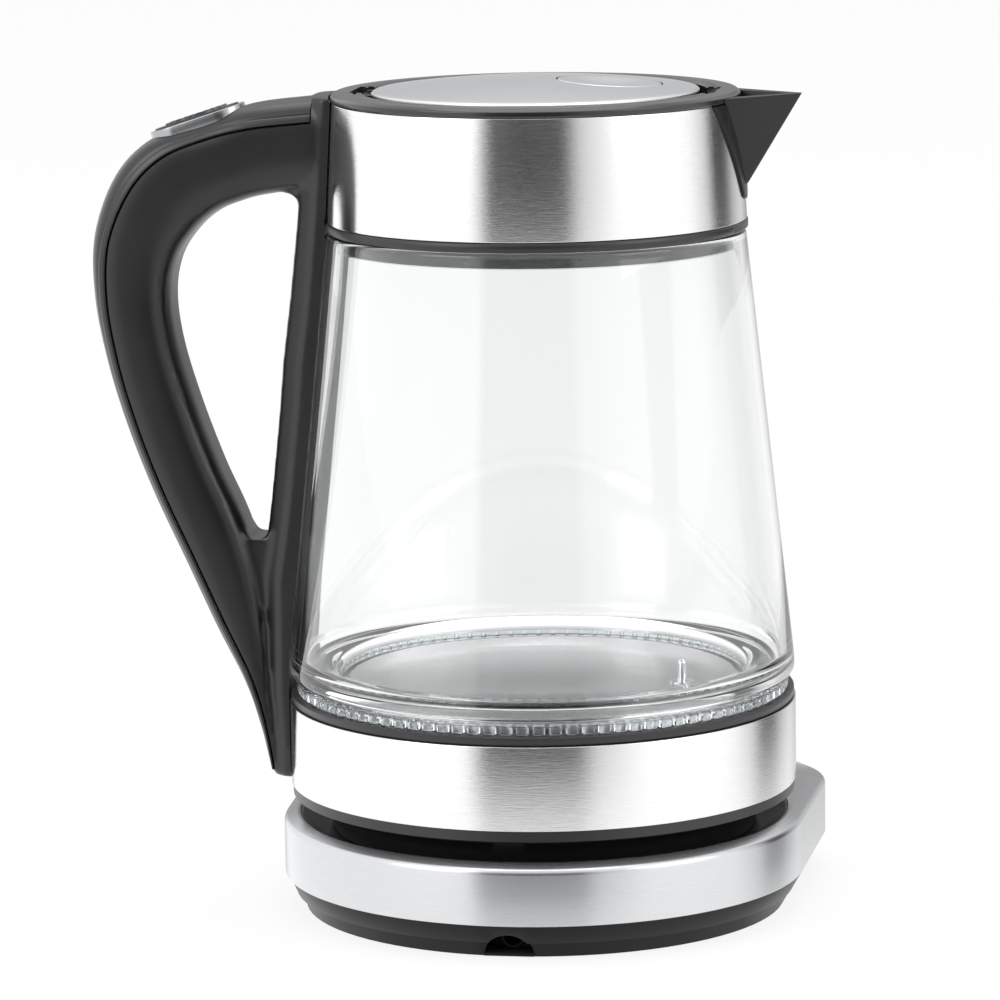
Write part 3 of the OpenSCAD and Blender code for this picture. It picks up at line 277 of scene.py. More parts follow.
@dataclass(frozen=True)
class ClearSolid(Finish):
    """Glass, clear acrylic or clear silicone: it bends what lies behind it and mirrors at its edges."""

    ior: float = 1.47
    ripple: float = 0.0
    ripple_size: float = 18.0

    def inputs(self, tree: Tree, place: Socket) -> Inputs:
        """A faint ripple from drawing or moulding moves what is seen through it.

        Args:
            tree: the material's tree.
            place: where a point lies on the piece.

        Returns:
            A value or a socket for each input of the shader.
        """
        waves = add(tree, "ShaderNodeTexNoise", {"Vector": place, "Scale": repeats(self.ripple_size),
                                                 "Detail": 1.0}).outputs["Fac"]
        height = add(tree, "ShaderNodeBump", {"Height": waves, "Strength": 0.02,
                                              "Distance": self.ripple * MM})
        return {"Base Color": linear(self.colour), "Transmission Weight": 1.0, "Roughness": 0.0,
                "IOR": self.ior, "Normal": height.outputs[0]}

    def output(self, tree: Tree, shader: Node) -> Socket:
        """Lets lamplight through as the real solid does, so that what lies behind isn't shaded.

        Args:
            tree: the material's tree.
            shader: the clear solid's own shader.

        Returns:
            The mix of it and a plain see-through one.
        """
        path = add(tree, "ShaderNodeLightPath").outputs
        passing = add(tree, "ShaderNodeMath", {0: path["Is Shadow Ray"], 1: path["Is Diffuse Ray"]},
                      operation="MAXIMUM")
        clear = add(tree, "ShaderNodeBsdfTransparent", {"Color": (0.93, 0.94, 0.94, 1)})
        return add(tree, "ShaderNodeMixShader", {0: passing.outputs[0], 1: shader.outputs[0],
                                                 2: clear.outputs[0]}).outputs[0]


@dataclass(frozen=True)
class Elastomer(Finish):
    """Moulded silicone or rubber: matt and slightly waxy, with a fine grain."""

    roughness: float = 0.6
    see_through: float = 0.0

    def inputs(self, tree: Tree, place: Socket) -> Inputs:
        """Grain of half a millimetre in the height and the tone.

        Args:
            tree: the material's tree.
            place: where a point lies on the piece.

        Returns:
            A value or a socket for each input of the shader.
        """
        grain = add(tree, "ShaderNodeTexNoise", {"Vector": place, "Scale": repeats(0.454545),
                                                 "Detail": 2.0}).outputs["Fac"]
        tone = add(tree, "ShaderNodeMix", {"Factor": grain, **self.tones(0.85)}, data_type="RGBA")
        height = add(tree, "ShaderNodeBump", {"Height": grain, "Strength": 0.15, "Distance": 0.1 * MM})
        return {"Base Color": tone.outputs["Result"], "Roughness": self.roughness,
                "Normal": height.outputs[0], "Subsurface Weight": self.see_through,
                "Subsurface Scale": 2 * MM}


@dataclass(frozen=True)
class CircuitBoard(Finish):
    """Glass-epoxy board under coloured lacquer: a satin sheet with pale printed tracks."""

    tracks: str = "#4f9a63"

    def inputs(self, tree: Tree, place: Socket) -> Inputs:
        """Square cells of about 3 mm stand for tracks and pads.

        Args:
            tree: the material's tree.
            place: where a point lies on the piece.

        Returns:
            A value or a socket for each input of the shader.
        """
        cells = add(tree, "ShaderNodeTexVoronoi", {"Vector": place, "Scale": repeats(3.0303)},
                    distance="CHEBYCHEV", feature="F1").outputs["Distance"]
        lines = add(tree, "ShaderNodeValToRGB", {"Fac": cells},
                    stops=((0.0, 0.0), (0.42, 0.0), (0.46, 1.0), (0.5, 1.0), (0.54, 0.0))).outputs["Color"]
        tone = add(tree, "ShaderNodeMix", {"Factor": lines, "A": linear(self.colour),
                                           "B": linear(self.tracks)}, data_type="RGBA")
        return {"Base Color": tone.outputs["Result"], "Roughness": 0.3}


# Brushed sheet. The bands draw each reflection out into an upright strip with a streaky edge, the
# duller shell blurs it, and lid and plate only show a soft sheen.
STEEL_BAND = BrushedSteel("brushed_304_steel_band", "#dcdcdd", roughness=0.14)
STEEL_SHELL = BrushedSteel("brushed_430_steel_shell", "#c4c5c7", roughness=0.25, spread=0.03, stretch=0.7,
                           relief=0.0)
STEEL_LID = BrushedSteel("brushed_304_steel_lid", "#cfd0d2", Grain.ALONG_X, roughness=0.34, spread=0.06,
                         stretch=0.0, relief=0.03)
STEEL_PLATE = BrushedSteel("deep_drawn_304_plate", "#cfcfd0", Grain.TURNED, roughness=0.22, stretch=0.0,
                           relief=0.03)

# Small metal parts, from the bright chrome of the probe to dull grey zinc and near-black oxide
CHROME = PolishedMetal("bright_chrome_plate", "#e4e5e7", roughness=0.05, wipe=0.03)
BEZEL = PolishedMetal("satin_chrome_bezel", "#9b9da0", roughness=0.22)
STEEL_WIRE = PolishedMetal("drawn_steel", "#b9babd", roughness=0.2)
BRASS = PolishedMetal("drawn_brass", "#c9a15a", roughness=0.25)
ZINC = PolishedMetal("zinc_plated_steel", "#a7a9ac", roughness=0.3, wipe=0.12)
ALUMINIUM = PolishedMetal("extruded_aluminium", "#b5b7ba", roughness=0.35, wipe=0.1)
BLACK_OXIDE = PolishedMetal("black_oxide_steel", "#2a2a2b", roughness=0.35)

# Moulded plastics. Grip and cover take a soft highlight along their crowns, spout and tray stay dull,
# the collar shines, and the panel is a black mirror.
BLACK_GRIP = MouldedPlastic("moulded_black_pp_grip", "#111112", roughness=0.32)
BLACK_COVER = MouldedPlastic("moulded_black_abs_cover", "#161618", roughness=0.3)
BLACK_HOUSING = MouldedPlastic("moulded_black_pp_housing", "#161617", roughness=0.38)
BLACK_TRAY = MouldedPlastic("moulded_black_pp_tray", "#0e0e0f", roughness=0.4, gloss=0.22)
BLACK_SPOUT = MouldedPlastic("moulded_black_pp_spout", "#131314", roughness=0.36, gloss=0.24)
GREY_COLLAR = MouldedPlastic("moulded_grey_abs_collar", "#1f1f21", roughness=0.2, gloss=0.55)
GREY_BUTTON = MouldedPlastic("moulded_grey_abs_button", "#454547", roughness=0.4)
WHITE_POM = MouldedPlastic("moulded_white_pom", "#e8e8e4", roughness=0.4)
SILVER_KEY = MouldedPlastic("metallised_abs_key", "#a9abae", roughness=0.3, relief=0.05, gloss=0.8)
GLOSS_PANEL = MouldedPlastic("gloss_black_pmma_panel", "#0b0b0c", roughness=0.12, relief=0.0, coat=1.0)

# Rubber and silicone, which take hardly any highlight
RUBBER = Elastomer("moulded_black_rubber", "#1b1b1c")
# Near-black, fully matt finish of the sill across the cord notch: painted shade that keeps the notch dark
NOTCH_SHADE_RUBBER = Elastomer("painted_shade_notch_sill", "#0c0c0d", roughness=1.0)
SILICONE = Elastomer("clear_white_silicone", "#dcdcd8", roughness=0.45, see_through=0.25)

# Clear solids: the wall is nearly colourless, and the ripple in the acrylic makes its blocks sparkle
GLASS = ClearSolid("drawn_borosilicate_glass", "#fafbfb")
CLEAR_SILICONE = ClearSolid("clear_silicone_seal", "#f2f4f4", ior=1.41)
ACRYLIC = ClearSolid("moulded_clear_acrylic", "#f6f9fa", ior=1.49, ripple=0.1, ripple_size=3.0)

# Deep green lacquer with paler green tracks
BOARD = CircuitBoard("green_lacquered_fr4", "#14532c")


# ---------------------------------------------------------------- outlines and solids


def fillet(corners: Sequence[tuple[float, ...]], steps: int = 4, closed: bool = True) -> list[Point]:
    """Rounds the corners of an outline.

    Args:
        corners: points as (r, z) or (r, z, radius of the rounding).
        steps: segments of each rounding.
        closed: whether the last corner joins the first.

    Returns:
        The points of the rounded outline.
    """
    out: list[Point] = []
    count = len(corners)
    for i, corner in enumerate(corners):
        radius = corner[2] if len(corner) > 2 else 0.0
        here = Vector(corner[:2])
        if radius <= 0 or (not closed and i in (0, count - 1)):
            out.append(tuple(here))
            continue
        before = Vector(corners[i - 1][:2]) - here
        after = Vector(corners[(i + 1) % count][:2]) - here
        half = before.angle(after) / 2
        back = min(radius / math.tan(half), before.length * 0.49, after.length * 0.49)
        a, b = here + before.normalized() * back, here + after.normalized() * back
        for k in range(steps + 1):
            t = k / steps
            out.append(tuple(a * (1 - t) ** 2 + here * 2 * t * (1 - t) + b * t * t))
    return out


def arc(cx: float, cy: float, radius: float, start: float, end: float, steps: int) -> list[Point]:
    """Points of an arc about a centre, both ends included."""
    angles = [math.radians(start + (end - start) * i / steps) for i in range(steps + 1)]
    return [(cx + radius * math.cos(a), cy + radius * math.sin(a)) for a in angles]


def spun(outline: Sequence[Point], steps: int = ROUND_STEPS, closed: bool = True) -> Solid:
    """Spins an outline in the XZ plane round Z.

    Args:
        outline: points as (r, z).
        steps: segments of the turn.
        closed: whether the last point joins the first; an open outline ends on the axis.

    Returns:
        The closed solid.
    """
    bm = bmesh.new()
    verts = [bm.verts.new((r * MM, 0, z * MM)) for r, z in outline]
    edges = [bm.edges.new(pair) for pair in zip(verts, verts[1:])]
    if closed:
        edges.append(bm.edges.new((verts[-1], verts[0])))
    bmesh.ops.spin(bm, geom=verts + edges, cent=(0, 0, 0), axis=(0, 0, 1), angle=math.tau, steps=steps,
                   use_merge=True)
    bmesh.ops.remove_doubles(bm, verts=bm.verts, dist=1e-6)
    bmesh.ops.recalc_face_normals(bm, faces=bm.faces)
    return bm


def lofted(rings: Sequence[Sequence[Vector]]) -> Solid:
    """Extrudes a first loop through further loops of as many points and caps both ends.

    Args:
        rings: loops of points.

    Returns:
        The closed solid.
    """
    bm = bmesh.new()
    order = bm.verts.layers.int.new("order")
    verts = bmesh.ops.create_circle(bm, cap_ends=False, radius=1.0, segments=len(rings[0]))["verts"]
    edges = list(bm.edges)
    for i, (vert, point) in enumerate(zip(verts, rings[0])):
        vert[order] = i
        vert.co = point * MM
    ends = [list(edges)]
    for ring in rings[1:]:
        made = bmesh.ops.extrude_edge_only(bm, edges=edges)["geom"]
        verts = sorted((g for g in made if isinstance(g, bmesh.types.BMVert)), key=lambda v: v[order])
        edges = [g for g in made if isinstance(g, bmesh.types.BMEdge)]
        for vert, point in zip(verts, ring):
            vert.co = point * MM
    ends.append(edges)
    for end in ends:
        bmesh.ops.edgeloop_fill(bm, edges=end)
    bmesh.ops.recalc_face_normals(bm, faces=bm.faces)
    return bm


def raised(bm: Solid, way: Sequence[float]) -> Solid:
    """Extrudes a single face to a solid.

    Args:
        bm: the face.
        way: how far along X, Y and Z.

    Returns:
        The solid.
    """
    made = bmesh.ops.extrude_face_region(bm, geom=list(bm.faces))["geom"]
    bmesh.ops.translate(bm, verts=[g for g in made if isinstance(g, bmesh.types.BMVert)],
                        vec=[reach * MM for reach in way])
    bmesh.ops.recalc_face_normals(bm, faces=bm.faces)
    return bm


def slab(face: Sequence[Point], half: float) -> Solid:
    """An outline in the XZ plane as a solid, a half width to each side along Y."""
    return lofted([[Vector((x, y, z)) for x, z in face] for y in (-half, half)])


def ease(bm: Solid, edges: Iterable[bmesh.types.BMEdge], width: float, clamp: bool = False) -> None:
    """Rounds edges.

    Args:
        bm: the solid.
        edges: its edges that are rounded.
        width: how far the rounding reaches.
        clamp: stops it where it would run into the next one.
    """
    bmesh.ops.bevel(bm, geom=list(edges), offset=width * MM, segments=2, affect="EDGES", profile=0.5,
                    material=-1, clamp_overlap=clamp)


def block(low: Sequence[float], high: Sequence[float], rounding: float = 0.0) -> Solid:
    """A box between two corners.

    Args:
        low: the corner with the lowest X, Y and Z.
        high: the corner across from it.
        rounding: width of its rounded edges, or 0 for sharp ones.

    Returns:
        The solid.
    """
    bm = bmesh.new()
    made = bmesh.ops.create_cube(bm, size=1.0)["verts"]
    bmesh.ops.scale(bm, verts=made, vec=[(b - a) * MM for a, b in zip(low, high)])
    bmesh.ops.translate(bm, verts=made, vec=[(a + b) / 2 * MM for a, b in zip(low, high)])
    if rounding:
        ease(bm, bm.edges, rounding)
    return bm


def stadium(length: float, width: float, low: float, high: float) -> Solid:
    """A solid about the origin with two straight sides along X and two half-round ends.

    Args:
        length: overall length.
        width: overall width.
        low: height of its underside.
        high: height of its top.

    Returns:
        The solid.
    """
    bm = bmesh.new()
    verts = bmesh.ops.create_circle(bm, cap_ends=True, radius=width / 2 * MM, segments=64)["verts"]
    reach = (length - width) / 2 * MM
    for vert in verts:
        vert.co.x += math.copysign(reach, vert.co.x) if abs(vert.co.x) > 1e-9 else 0.0
        vert.co.z = low * MM
    return raised(bm, (0, 0, high - low))


def placed(bm: Solid, at: Sequence[float], angle: float, axis: str) -> Solid:
    """Turns a solid about an axis through the origin and then moves it.

    Args:
        bm: the solid.
        at: where its origin goes.
        angle: how far it turns.
        axis: "X", "Y" or "Z".

    Returns:
        The same solid.
    """
    move = Matrix.Translation([reach * MM for reach in at])
    bmesh.ops.transform(bm, matrix=move @ Matrix.Rotation(math.radians(angle), 4, axis), verts=bm.verts)
    return bm


def joined(solids: Iterable[Solid]) -> Solid:
    """Puts several solids into one and frees them.

    Args:
        solids: the solids, which may run through each other.

    Returns:
        All of them as one bmesh.
    """
    out = bmesh.new()
    for solid in solids:
        mesh = bpy.data.meshes.new("solid")
        solid.to_mesh(mesh)
        solid.free()
        out.from_mesh(mesh)
        bpy.data.meshes.remove(mesh)
    return out


def as_object(bm: Solid, name: str) -> Piece:
    """Makes a named object of a bmesh and frees the bmesh.

    Args:
        bm: the solid.
        name: name of the object and its mesh.

    Returns:
        The object, linked to the scene.
    """
    mesh = bpy.data.meshes.new(name)
    bm.to_mesh(mesh)
    bm.free()
    made = bpy.data.objects.new(name, mesh)
    bpy.context.scene.collection.objects.link(made)
    return made


def taken(piece: Piece) -> Solid:
    """Turns an object back into a bmesh and removes the object.

    Args:
        piece: the object.

    Returns:
        The bmesh.
    """
    bm = bmesh.new()
    bm.from_mesh(piece.data)
    bpy.data.objects.remove(piece)
    return bm


def settle(piece: Piece) -> None:
    """Applies every modifier of an object.

    Args:
        piece: the object.
    """
    graph = bpy.context.evaluated_depsgraph_get()
    mesh = bpy.data.meshes.new_from_object(piece.evaluated_get(graph))
    piece.modifiers.clear()
    old, piece.data = piece.data, mesh
    bpy.data.meshes.remove(old)


def cut(piece: Piece, tool: Solid) -> None:
    """Cuts a solid out of an object and removes the solid.

    Args:
        piece: the object that is cut.
        tool: the solid.
    """
    other = as_object(tool, "tool")
    step = piece.modifiers.new("cut", "BOOLEAN")
    step.operation = "DIFFERENCE"
    step.solver = "EXACT"
    step.object = other
    settle(piece)
    bpy.data.objects.remove(other)


def smooth(piece: Piece, angle: float) -> Piece:
    """Shades an object smooth.

    Args:
        piece: the object.
        angle: edges sharper than this stay sharp.

    Returns:
        The same object.
    """
    piece.data.shade_smooth()
    piece.data.set_sharp_from_angle(angle=math.radians(angle))
    return piece


# ---------------------------------------------------------------- sub-assemblies


@dataclass
class Assembly:
    """A group of pieces that is built and dressed together."""

    pieces: list[Piece] = field(default_factory=list)

    def keep(self, piece: Piece, body: str, finish: Finish, replaces: Sequence[str] = (),
             slot: str = "") -> None:
        """Gives a finished mesh its material and body, and hides the nodes that it stands for.

        Args:
            piece: the object.
            body: the body that it rides on.
            finish: its finish.
            replaces: the nodes that it hides.
            slot: the record's material slot; not used.
        """
        piece.data.materials.clear()
        piece.data.materials.append(finish.build())
        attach(piece, body)
        if replaces:
            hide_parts(*replaces)
        self.pieces.append(piece)
        log.info("%s rides on %s", piece.name, body)

    def refine(self, node: str, body: str, finish: Finish, slot: str, bevel: float = 0.0,
               angle: float = 30.0) -> None:
        """Makes a smooth copy of a node with its edges eased, and lets it stand for the node.

        Args:
            node: the node that is copied.
            body: the body that it rides on.
            finish: its finish.
            slot: the record's material slot; not used.
            bevel: width of the eased edges.
            angle: edges sharper than this stay sharp or are eased.
        """
        bm = bmesh.new()
        bm.from_mesh(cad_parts[node].data)
        bmesh.ops.remove_doubles(bm, verts=bm.verts, dist=2e-6)
        bmesh.ops.dissolve_limit(bm, angle_limit=math.radians(0.4), verts=bm.verts, edges=bm.edges)
        if bevel:
            limit = math.radians(angle)
            sharp = [e for e in bm.edges if len(e.link_faces) == 2 and e.calc_face_angle(0) > limit]
            ease(bm, sharp, bevel, clamp=True)
        self.keep(smooth(as_object(bm, node + "_piece"), angle), body, finish, [node], slot)

    def dress(self, node: str, finish: Finish) -> None:
        """Gives a node its finish and leaves its mesh alone."""
        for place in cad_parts[node].material_slots:
            place.material = finish.build()


@dataclass
class PowerBase(Assembly):
    """The base: steel shell, black tray and deck, connector, and the control strip with its keys."""

    front_r: float = 80.0
    half_width: float = 82.0
    corner_r: float = 32.0
    corner_y: float = 49.0
    corner_end: float = 52.0
    rim_r: float = 75.1
    rim_in: float = 4.6
    low: float = 10.9
    shoulder: float = 26.5
    rim: float = 29.6
    sheet: float = 0.8
    strip_in: float = 4.0
    strip_w: float = 12.0
    strip_half: float = 29.1
    strip_gap: float = 0.15
    strip_low: float = 22.0
    strip_high: float = 34.0
    notch_half: float = 7.45

    @property
    def back_r(self) -> float:
        """Radius of the rear edge."""
        return self.corner_r + (self.half_width - self.corner_r) / math.cos(math.radians(self.corner_end))

    @property
    def back_y(self) -> float:
        """Centre of the rear edge along Y."""
        return self.corner_y - (self.back_r - self.corner_r) * math.sin(math.radians(self.corner_end))

    def ring(self, inward: float, z: float) -> list[Vector]:
        """One loop of the base's plan: front, right corner, rear edge and left corner.

        Args:
            inward: how far the plan is drawn in all round.
            z: height of the loop.

        Returns:
            The points of the loop.
        """
        cx, cy, end = self.half_width - self.corner_r, self.corner_y, self.corner_end
        reach = math.hypot(cx, cy)
        side = math.degrees(math.atan2(cy, cx) - math.acos((self.front_r - self.corner_r) / reach))
        # An arc starts this far past the end of the one before it, so that no point is doubled
        corner_step, back_step = 1.5, 2.0
        plan = (arc(0, 0, self.front_r - inward, 180 - side, 360 + side, 150)
                + arc(cx, cy, self.corner_r - inward, side + corner_step, end, 30)
                + arc(0, self.back_y, self.back_r - inward, end + back_step, 180 - back_step - end, 40)
                + arc(-cx, cy, self.corner_r - inward, 180 - end, 180 - corner_step - side, 30))
        return [Vector((x, y, z)) for x, y in plan]

    def strip_room(self) -> Solid:
        """The opening in the shell's rear rim for the control strip.

        Returns:
            The opening as a solid.
        """
        outer = self.back_r - self.strip_in + self.strip_gap
        inner = self.back_r - self.strip_in - self.strip_w - self.strip_gap
        low, high = self.strip_low, self.strip_high
        bm = bmesh.new()
        bm.faces.new([bm.verts.new((r * MM, 0, z * MM))
                      for r, z in ((inner, low), (outer, low), (outer, high), (inner, high))])
        placed(bm, (0, self.back_y, 0), 90 - self.strip_half, "Z")
        bmesh.ops.spin(bm, geom=list(bm.faces), cent=(0, self.back_y * MM, 0), axis=(0, 0, 1),
                       angle=math.radians(2 * self.strip_half), steps=48, use_merge=False)
        bmesh.ops.recalc_face_normals(bm, faces=bm.faces)
        return bm

    def build_shell(self) -> None:
        """The pressed shell: side wall, soft crease and sloping shoulder, as insets and heights."""
        outer = fillet([(0.35, self.low - 0.05), (0.08, self.low + 0.12), (0.0, self.low + 0.5),
                        (0.0, self.shoulder - 6), (0.0, self.shoulder + 1.2, 2.2),
                        (self.rim_in - 0.5, self.rim, 0.4), (self.rim_in + 0.4, self.rim - 0.4)],
                       8, closed=False)
        inner = ((self.sheet, self.low - 2), (self.sheet, self.low + 0.3),
                 (self.sheet + 0.1, self.shoulder - 2), (2.4, self.shoulder),
                 (self.rim_in + 0.9, self.rim - self.sheet))
        shell = as_object(lofted([self.ring(d, z) for d, z in outer]), "shell_pressing")
        cut(shell, lofted([self.ring(d, z) for d, z in inner]))
        cut(shell, spun([(0, 20), (self.rim_r, 20), (self.rim_r, 40), (0, 40)], TOOL_STEPS, closed=False))
        cut(shell, self.strip_room())
        self.keep(smooth(shell, 28), "power_base", STEEL_SHELL, ["base_shell"], "brushed_steel")

    def build(self) -> None:
        """Builds the shell, refines the plastic parts and dresses the rest."""
        self.build_shell()
        self.refine("base_tray", "power_base", BLACK_TRAY, "black_plastic", 0.25, 35)
        # A thin lip closes the floor of the cord notch; it is near-black and matt as painted shade, standing
        # in for the dark under the base
        sill = as_object(block((-self.notch_half, -73.7, 0.45), (self.notch_half, -63.9, 1.1)),
                         "cord_notch_shade_sill")
        self.keep(smooth(sill, 40), "power_base", NOTCH_SHADE_RUBBER, slot="black_plastic")
        self.refine("base_deck", "power_base", BLACK_HOUSING, "black_plastic", 0.2, 35)
        self.refine("control_panel", "power_base", GLOSS_PANEL, "gloss_black", 0.15)
        self.refine("display_window", "power_base", GLOSS_PANEL, "gloss_black", 0.1)
        self.refine("base_coupler", "power_base", BLACK_HOUSING, "black_plastic", 0.25)
        for key in ("power_key", "cooler_key", "hotter_key", "keep_warm_key"):
            self.refine(key, key, SILVER_KEY, "silver_plastic", 0.1)
        for node, finish in (("cord_gland", RUBBER), ("rubber_feet", RUBBER), ("base_screws", ZINC),
                             ("base_contacts", BRASS), ("control_board", BOARD)):
            self.dress(node, finish)


@dataclass
class Vessel(Assembly):
    """Everything of the kettle between its foot and the ring round the lid."""

    band_low: float = 39.0
    band_high: float = 64.3
    band_r: float = 77.5
    sheet: float = 0.6
    sheet_edge: float = 0.25
    light: float = 67.2
    light_h: float = 3.4
    light_r: float = 75.4
    light_in: float = 67.9
    light_blocks: int = 96
    glass: float = 71.0
    glass_top: float = 207.8
    glass_r: float = 77.2
    glass_foot: float = 4.5
    glass_in: float = 62.9
    mouth_r: float = 63.1
    wall: float = 2.8
    upper_low: float = 211.1
    upper_high: float = 247.1
    upper_foot_r: float = 63.5
    upper_r: float = 61.5
    spout_r: float = 7.0
    spout_half: float = 25.0
    spout_foot: float = 6.0
    collar: float = 249.9
    opening_r: float = 52.0

    def glass_out(self, z: float) -> float:
        """Outer radius of the glass at a height above its foot."""
        slope = (self.glass_r - self.mouth_r) / (self.glass_top - self.glass - self.glass_foot)
        return self.glass_r - slope * (z - self.glass - self.glass_foot)

    def band_sheet(self, name: str, low: Point, high: Point) -> Piece:
        """A steel band, its edges turned in by a hair.

        Args:
            name: name of the object.
            low: outer radius and height of its lower edge.
            high: outer radius and height of its upper edge.

        Returns:
            The object.
        """
        t, edge = self.sheet, self.sheet_edge
        outline = fillet([(low[0] - t, low[1]), (*low, edge), (*high, edge), (high[0] - t, high[1])])
        return as_object(spun(outline), name)

    def spout_gap(self) -> Solid:
        """The opening of the upper band for the spout, a V with a round foot.

        Returns:
            The opening as a solid along X.
        """
        r, half, centre = self.spout_r, self.spout_half, self.upper_low + self.spout_foot + self.spout_r
        top = self.upper_high - centre
        turn = math.degrees(math.atan2(top, half) - math.acos(r / math.hypot(half, top)))
        flare, above = half * 1.3, top + 20
        outline = [(flare, above), (half, top), *arc(0, 0, r, turn, -180 - turn, 32), (-half, top),
                   (-flare, above)]
        bm = bmesh.new()
        bm.faces.new([bm.verts.new((40 * MM, y * MM, (z + centre) * MM)) for y, z in outline])
        return raised(bm, (60, 0, 0))

    def build_bands(self) -> None:
        """The two steel bands, the upper one open for the spout."""
        low = self.band_sheet("lower_band_sheet", (self.band_r, self.band_low), (self.band_r, self.band_high))
        self.keep(smooth(low, 50), "kettle", STEEL_BAND, ["lower_band"], "brushed_steel")
        top = self.band_sheet("upper_band_sheet", (self.upper_foot_r, self.upper_low),
                              (self.upper_r, self.upper_high))
        cut(top, self.spout_gap())
        self.keep(smooth(top, 50), "kettle", STEEL_BAND, ["upper_band"], "brushed_steel")

    def build_light_ring(self) -> None:
        """The clear ring that the lamps shine into: a thin band with moulded blocks before it."""
        low, high = self.light + 0.1, self.light + self.light_h
        r, inner, back = self.light_r, self.light_in, self.light_r - 2.8
        band = fillet([(inner, low), (back, low, 0.2), (back, high - 1.1, 0.2), (r - 0.5, high - 0.9, 0.2),
                       (r, high - 0.45, 0.2), (r, high, 0.2), (inner, high)])
        self.keep(smooth(as_object(spun(band), "light_ring_band"), 40), "kettle", ACRYLIC, ["light_ring"],
                  "clear_acrylic")
        pitch = math.tau / self.light_blocks
        thick, wide, tall = 2.4, 0.72 * r * pitch, self.light_h - 0.5
        shape = (Matrix.Translation(((r - 1.45) * MM, 0, (low + 1.5) * MM))
                 @ Matrix.Diagonal((thick * MM, wide * MM, tall * MM, 1)))
        blocks = bmesh.new()
        for i in range(self.light_blocks):
            bmesh.ops.create_cube(blocks, size=1.0, matrix=Matrix.Rotation(i * pitch, 4, "Z") @ shape)
        ease(blocks, blocks.edges, 0.45)
        self.keep(smooth(as_object(blocks, "light_ring_blocks"), 40), "kettle", ACRYLIC, slot="clear_acrylic")

    def build_glass(self) -> None:
        """The glass: drawn wall, thick rounded foot with a bowl inside, and a fire-polished mouth."""
        g, top, t, out = self.glass, self.glass_top, self.wall, self.glass_out
        lip, edge, bowl = self.glass_in, self.glass_r - 3.2, g + 9
        levels = (g + 40, g + 75, g + 110)
        outside = [(lip, g), (edge, g), *arc(edge, g + 3.4, 3.2, -75, -8, 12)]
        outside += [(out(z), z) for z in (g + 5.5, *levels, top - t / 2)]
        mouth = arc(out(top) - t / 2, top - t / 2, t / 2, 0, 180, 12)
        inside = [(out(z) - t, z) for z in (top - 3, *levels[::-1], bowl)]
        for a in (math.radians(angle) for angle in range(8, 80, 8)):
            inside.append((out(bowl) - t - 5.6 * (1 - math.cos(a)), bowl - 6 * math.sin(a)))
        inside += [(lip + 1, g + 3), (lip, g + 2)]
        piece = as_object(spun(outside + mouth + inside), "glass_vessel")
        self.keep(smooth(piece, 50), "kettle", GLASS, ["glass_body"], "borosilicate_glass")

    def build_collar(self) -> None:
        """The grey ring round the lid, with its skirt, a groove and notches at the spout and the hinge."""
        low, high, r, o = self.upper_high + 0.1, self.collar, self.upper_r, self.opening_r
        outline = [(o, 236.1), (o + 1.6, 236.1), (o + 1.6, low - 2.1), (r - 3.6, low - 1.8),
                   (r - 1.4, low - 1.8), (r - 0.9, low), (r, low, 0.15), (r + 0.3, low + 0.5, 0.2),
                   (r + 0.25, high - 0.95, 0.5), (r - 0.9, high - 0.1, 0.5), (o + 3.2, high, 0.3),
                   (o + 2.6, high - 0.45, 0.2), (o + 2.2, high - 0.45, 0.1), (o + 1.7, high - 0.02, 0.2),
                   (o + 0.4, high - 0.02, 0.3), (o, high - 0.5, 0.2)]
        ring = as_object(spun(fillet(outline)), "collar_ring")
        for angle, floor in ((0, self.upper_high + 0.3), (180, 244.0)):
            notch = block((o - 10, -10.6, floor), (o + 3.3, 10.6, 262), 1.6)
            cut(ring, placed(notch, (0, 0, 0), angle, "Z"))
        self.keep(smooth(ring, 35), "kettle", GREY_COLLAR, ["top_collar"], "grey_plastic")

    def build(self) -> None:
        """Builds the parts that show most, refines the others and dresses the inner ones."""
        self.build_bands()
        self.build_light_ring()
        self.build_glass()
        self.build_collar()
        for node, finish, slot, angle in (
                ("lower_housing", BLACK_HOUSING, "black_plastic", 40),
                ("neck_housing", BLACK_HOUSING, "black_plastic", 40),
                ("bottom_cover", BLACK_HOUSING, "black_plastic", 40),
                ("heater_plate", STEEL_PLATE, "polished_steel", 60),
                ("temperature_probe", CHROME, "polished_steel", 60),
                ("glass_top_seal", CLEAR_SILICONE, "silicone", 30),
                ("plate_seal", CLEAR_SILICONE, "silicone", 30),
                ("spout_filter", STEEL_WIRE, "polished_steel", 30)):
            self.refine(node, "kettle", finish, slot, angle=angle)
        self.refine("kettle_connector", "connector", BLACK_HOUSING, "black_plastic", 0.2)
        for node, finish in (("led_board", BOARD), ("heating_element", ALUMINIUM), ("bottom_screws", ZINC),
                             ("hinge_pin", BLACK_OXIDE), ("lid_spring", BLACK_OXIDE),
                             ("connector_contacts", BRASS)):
            self.dress(node, finish)


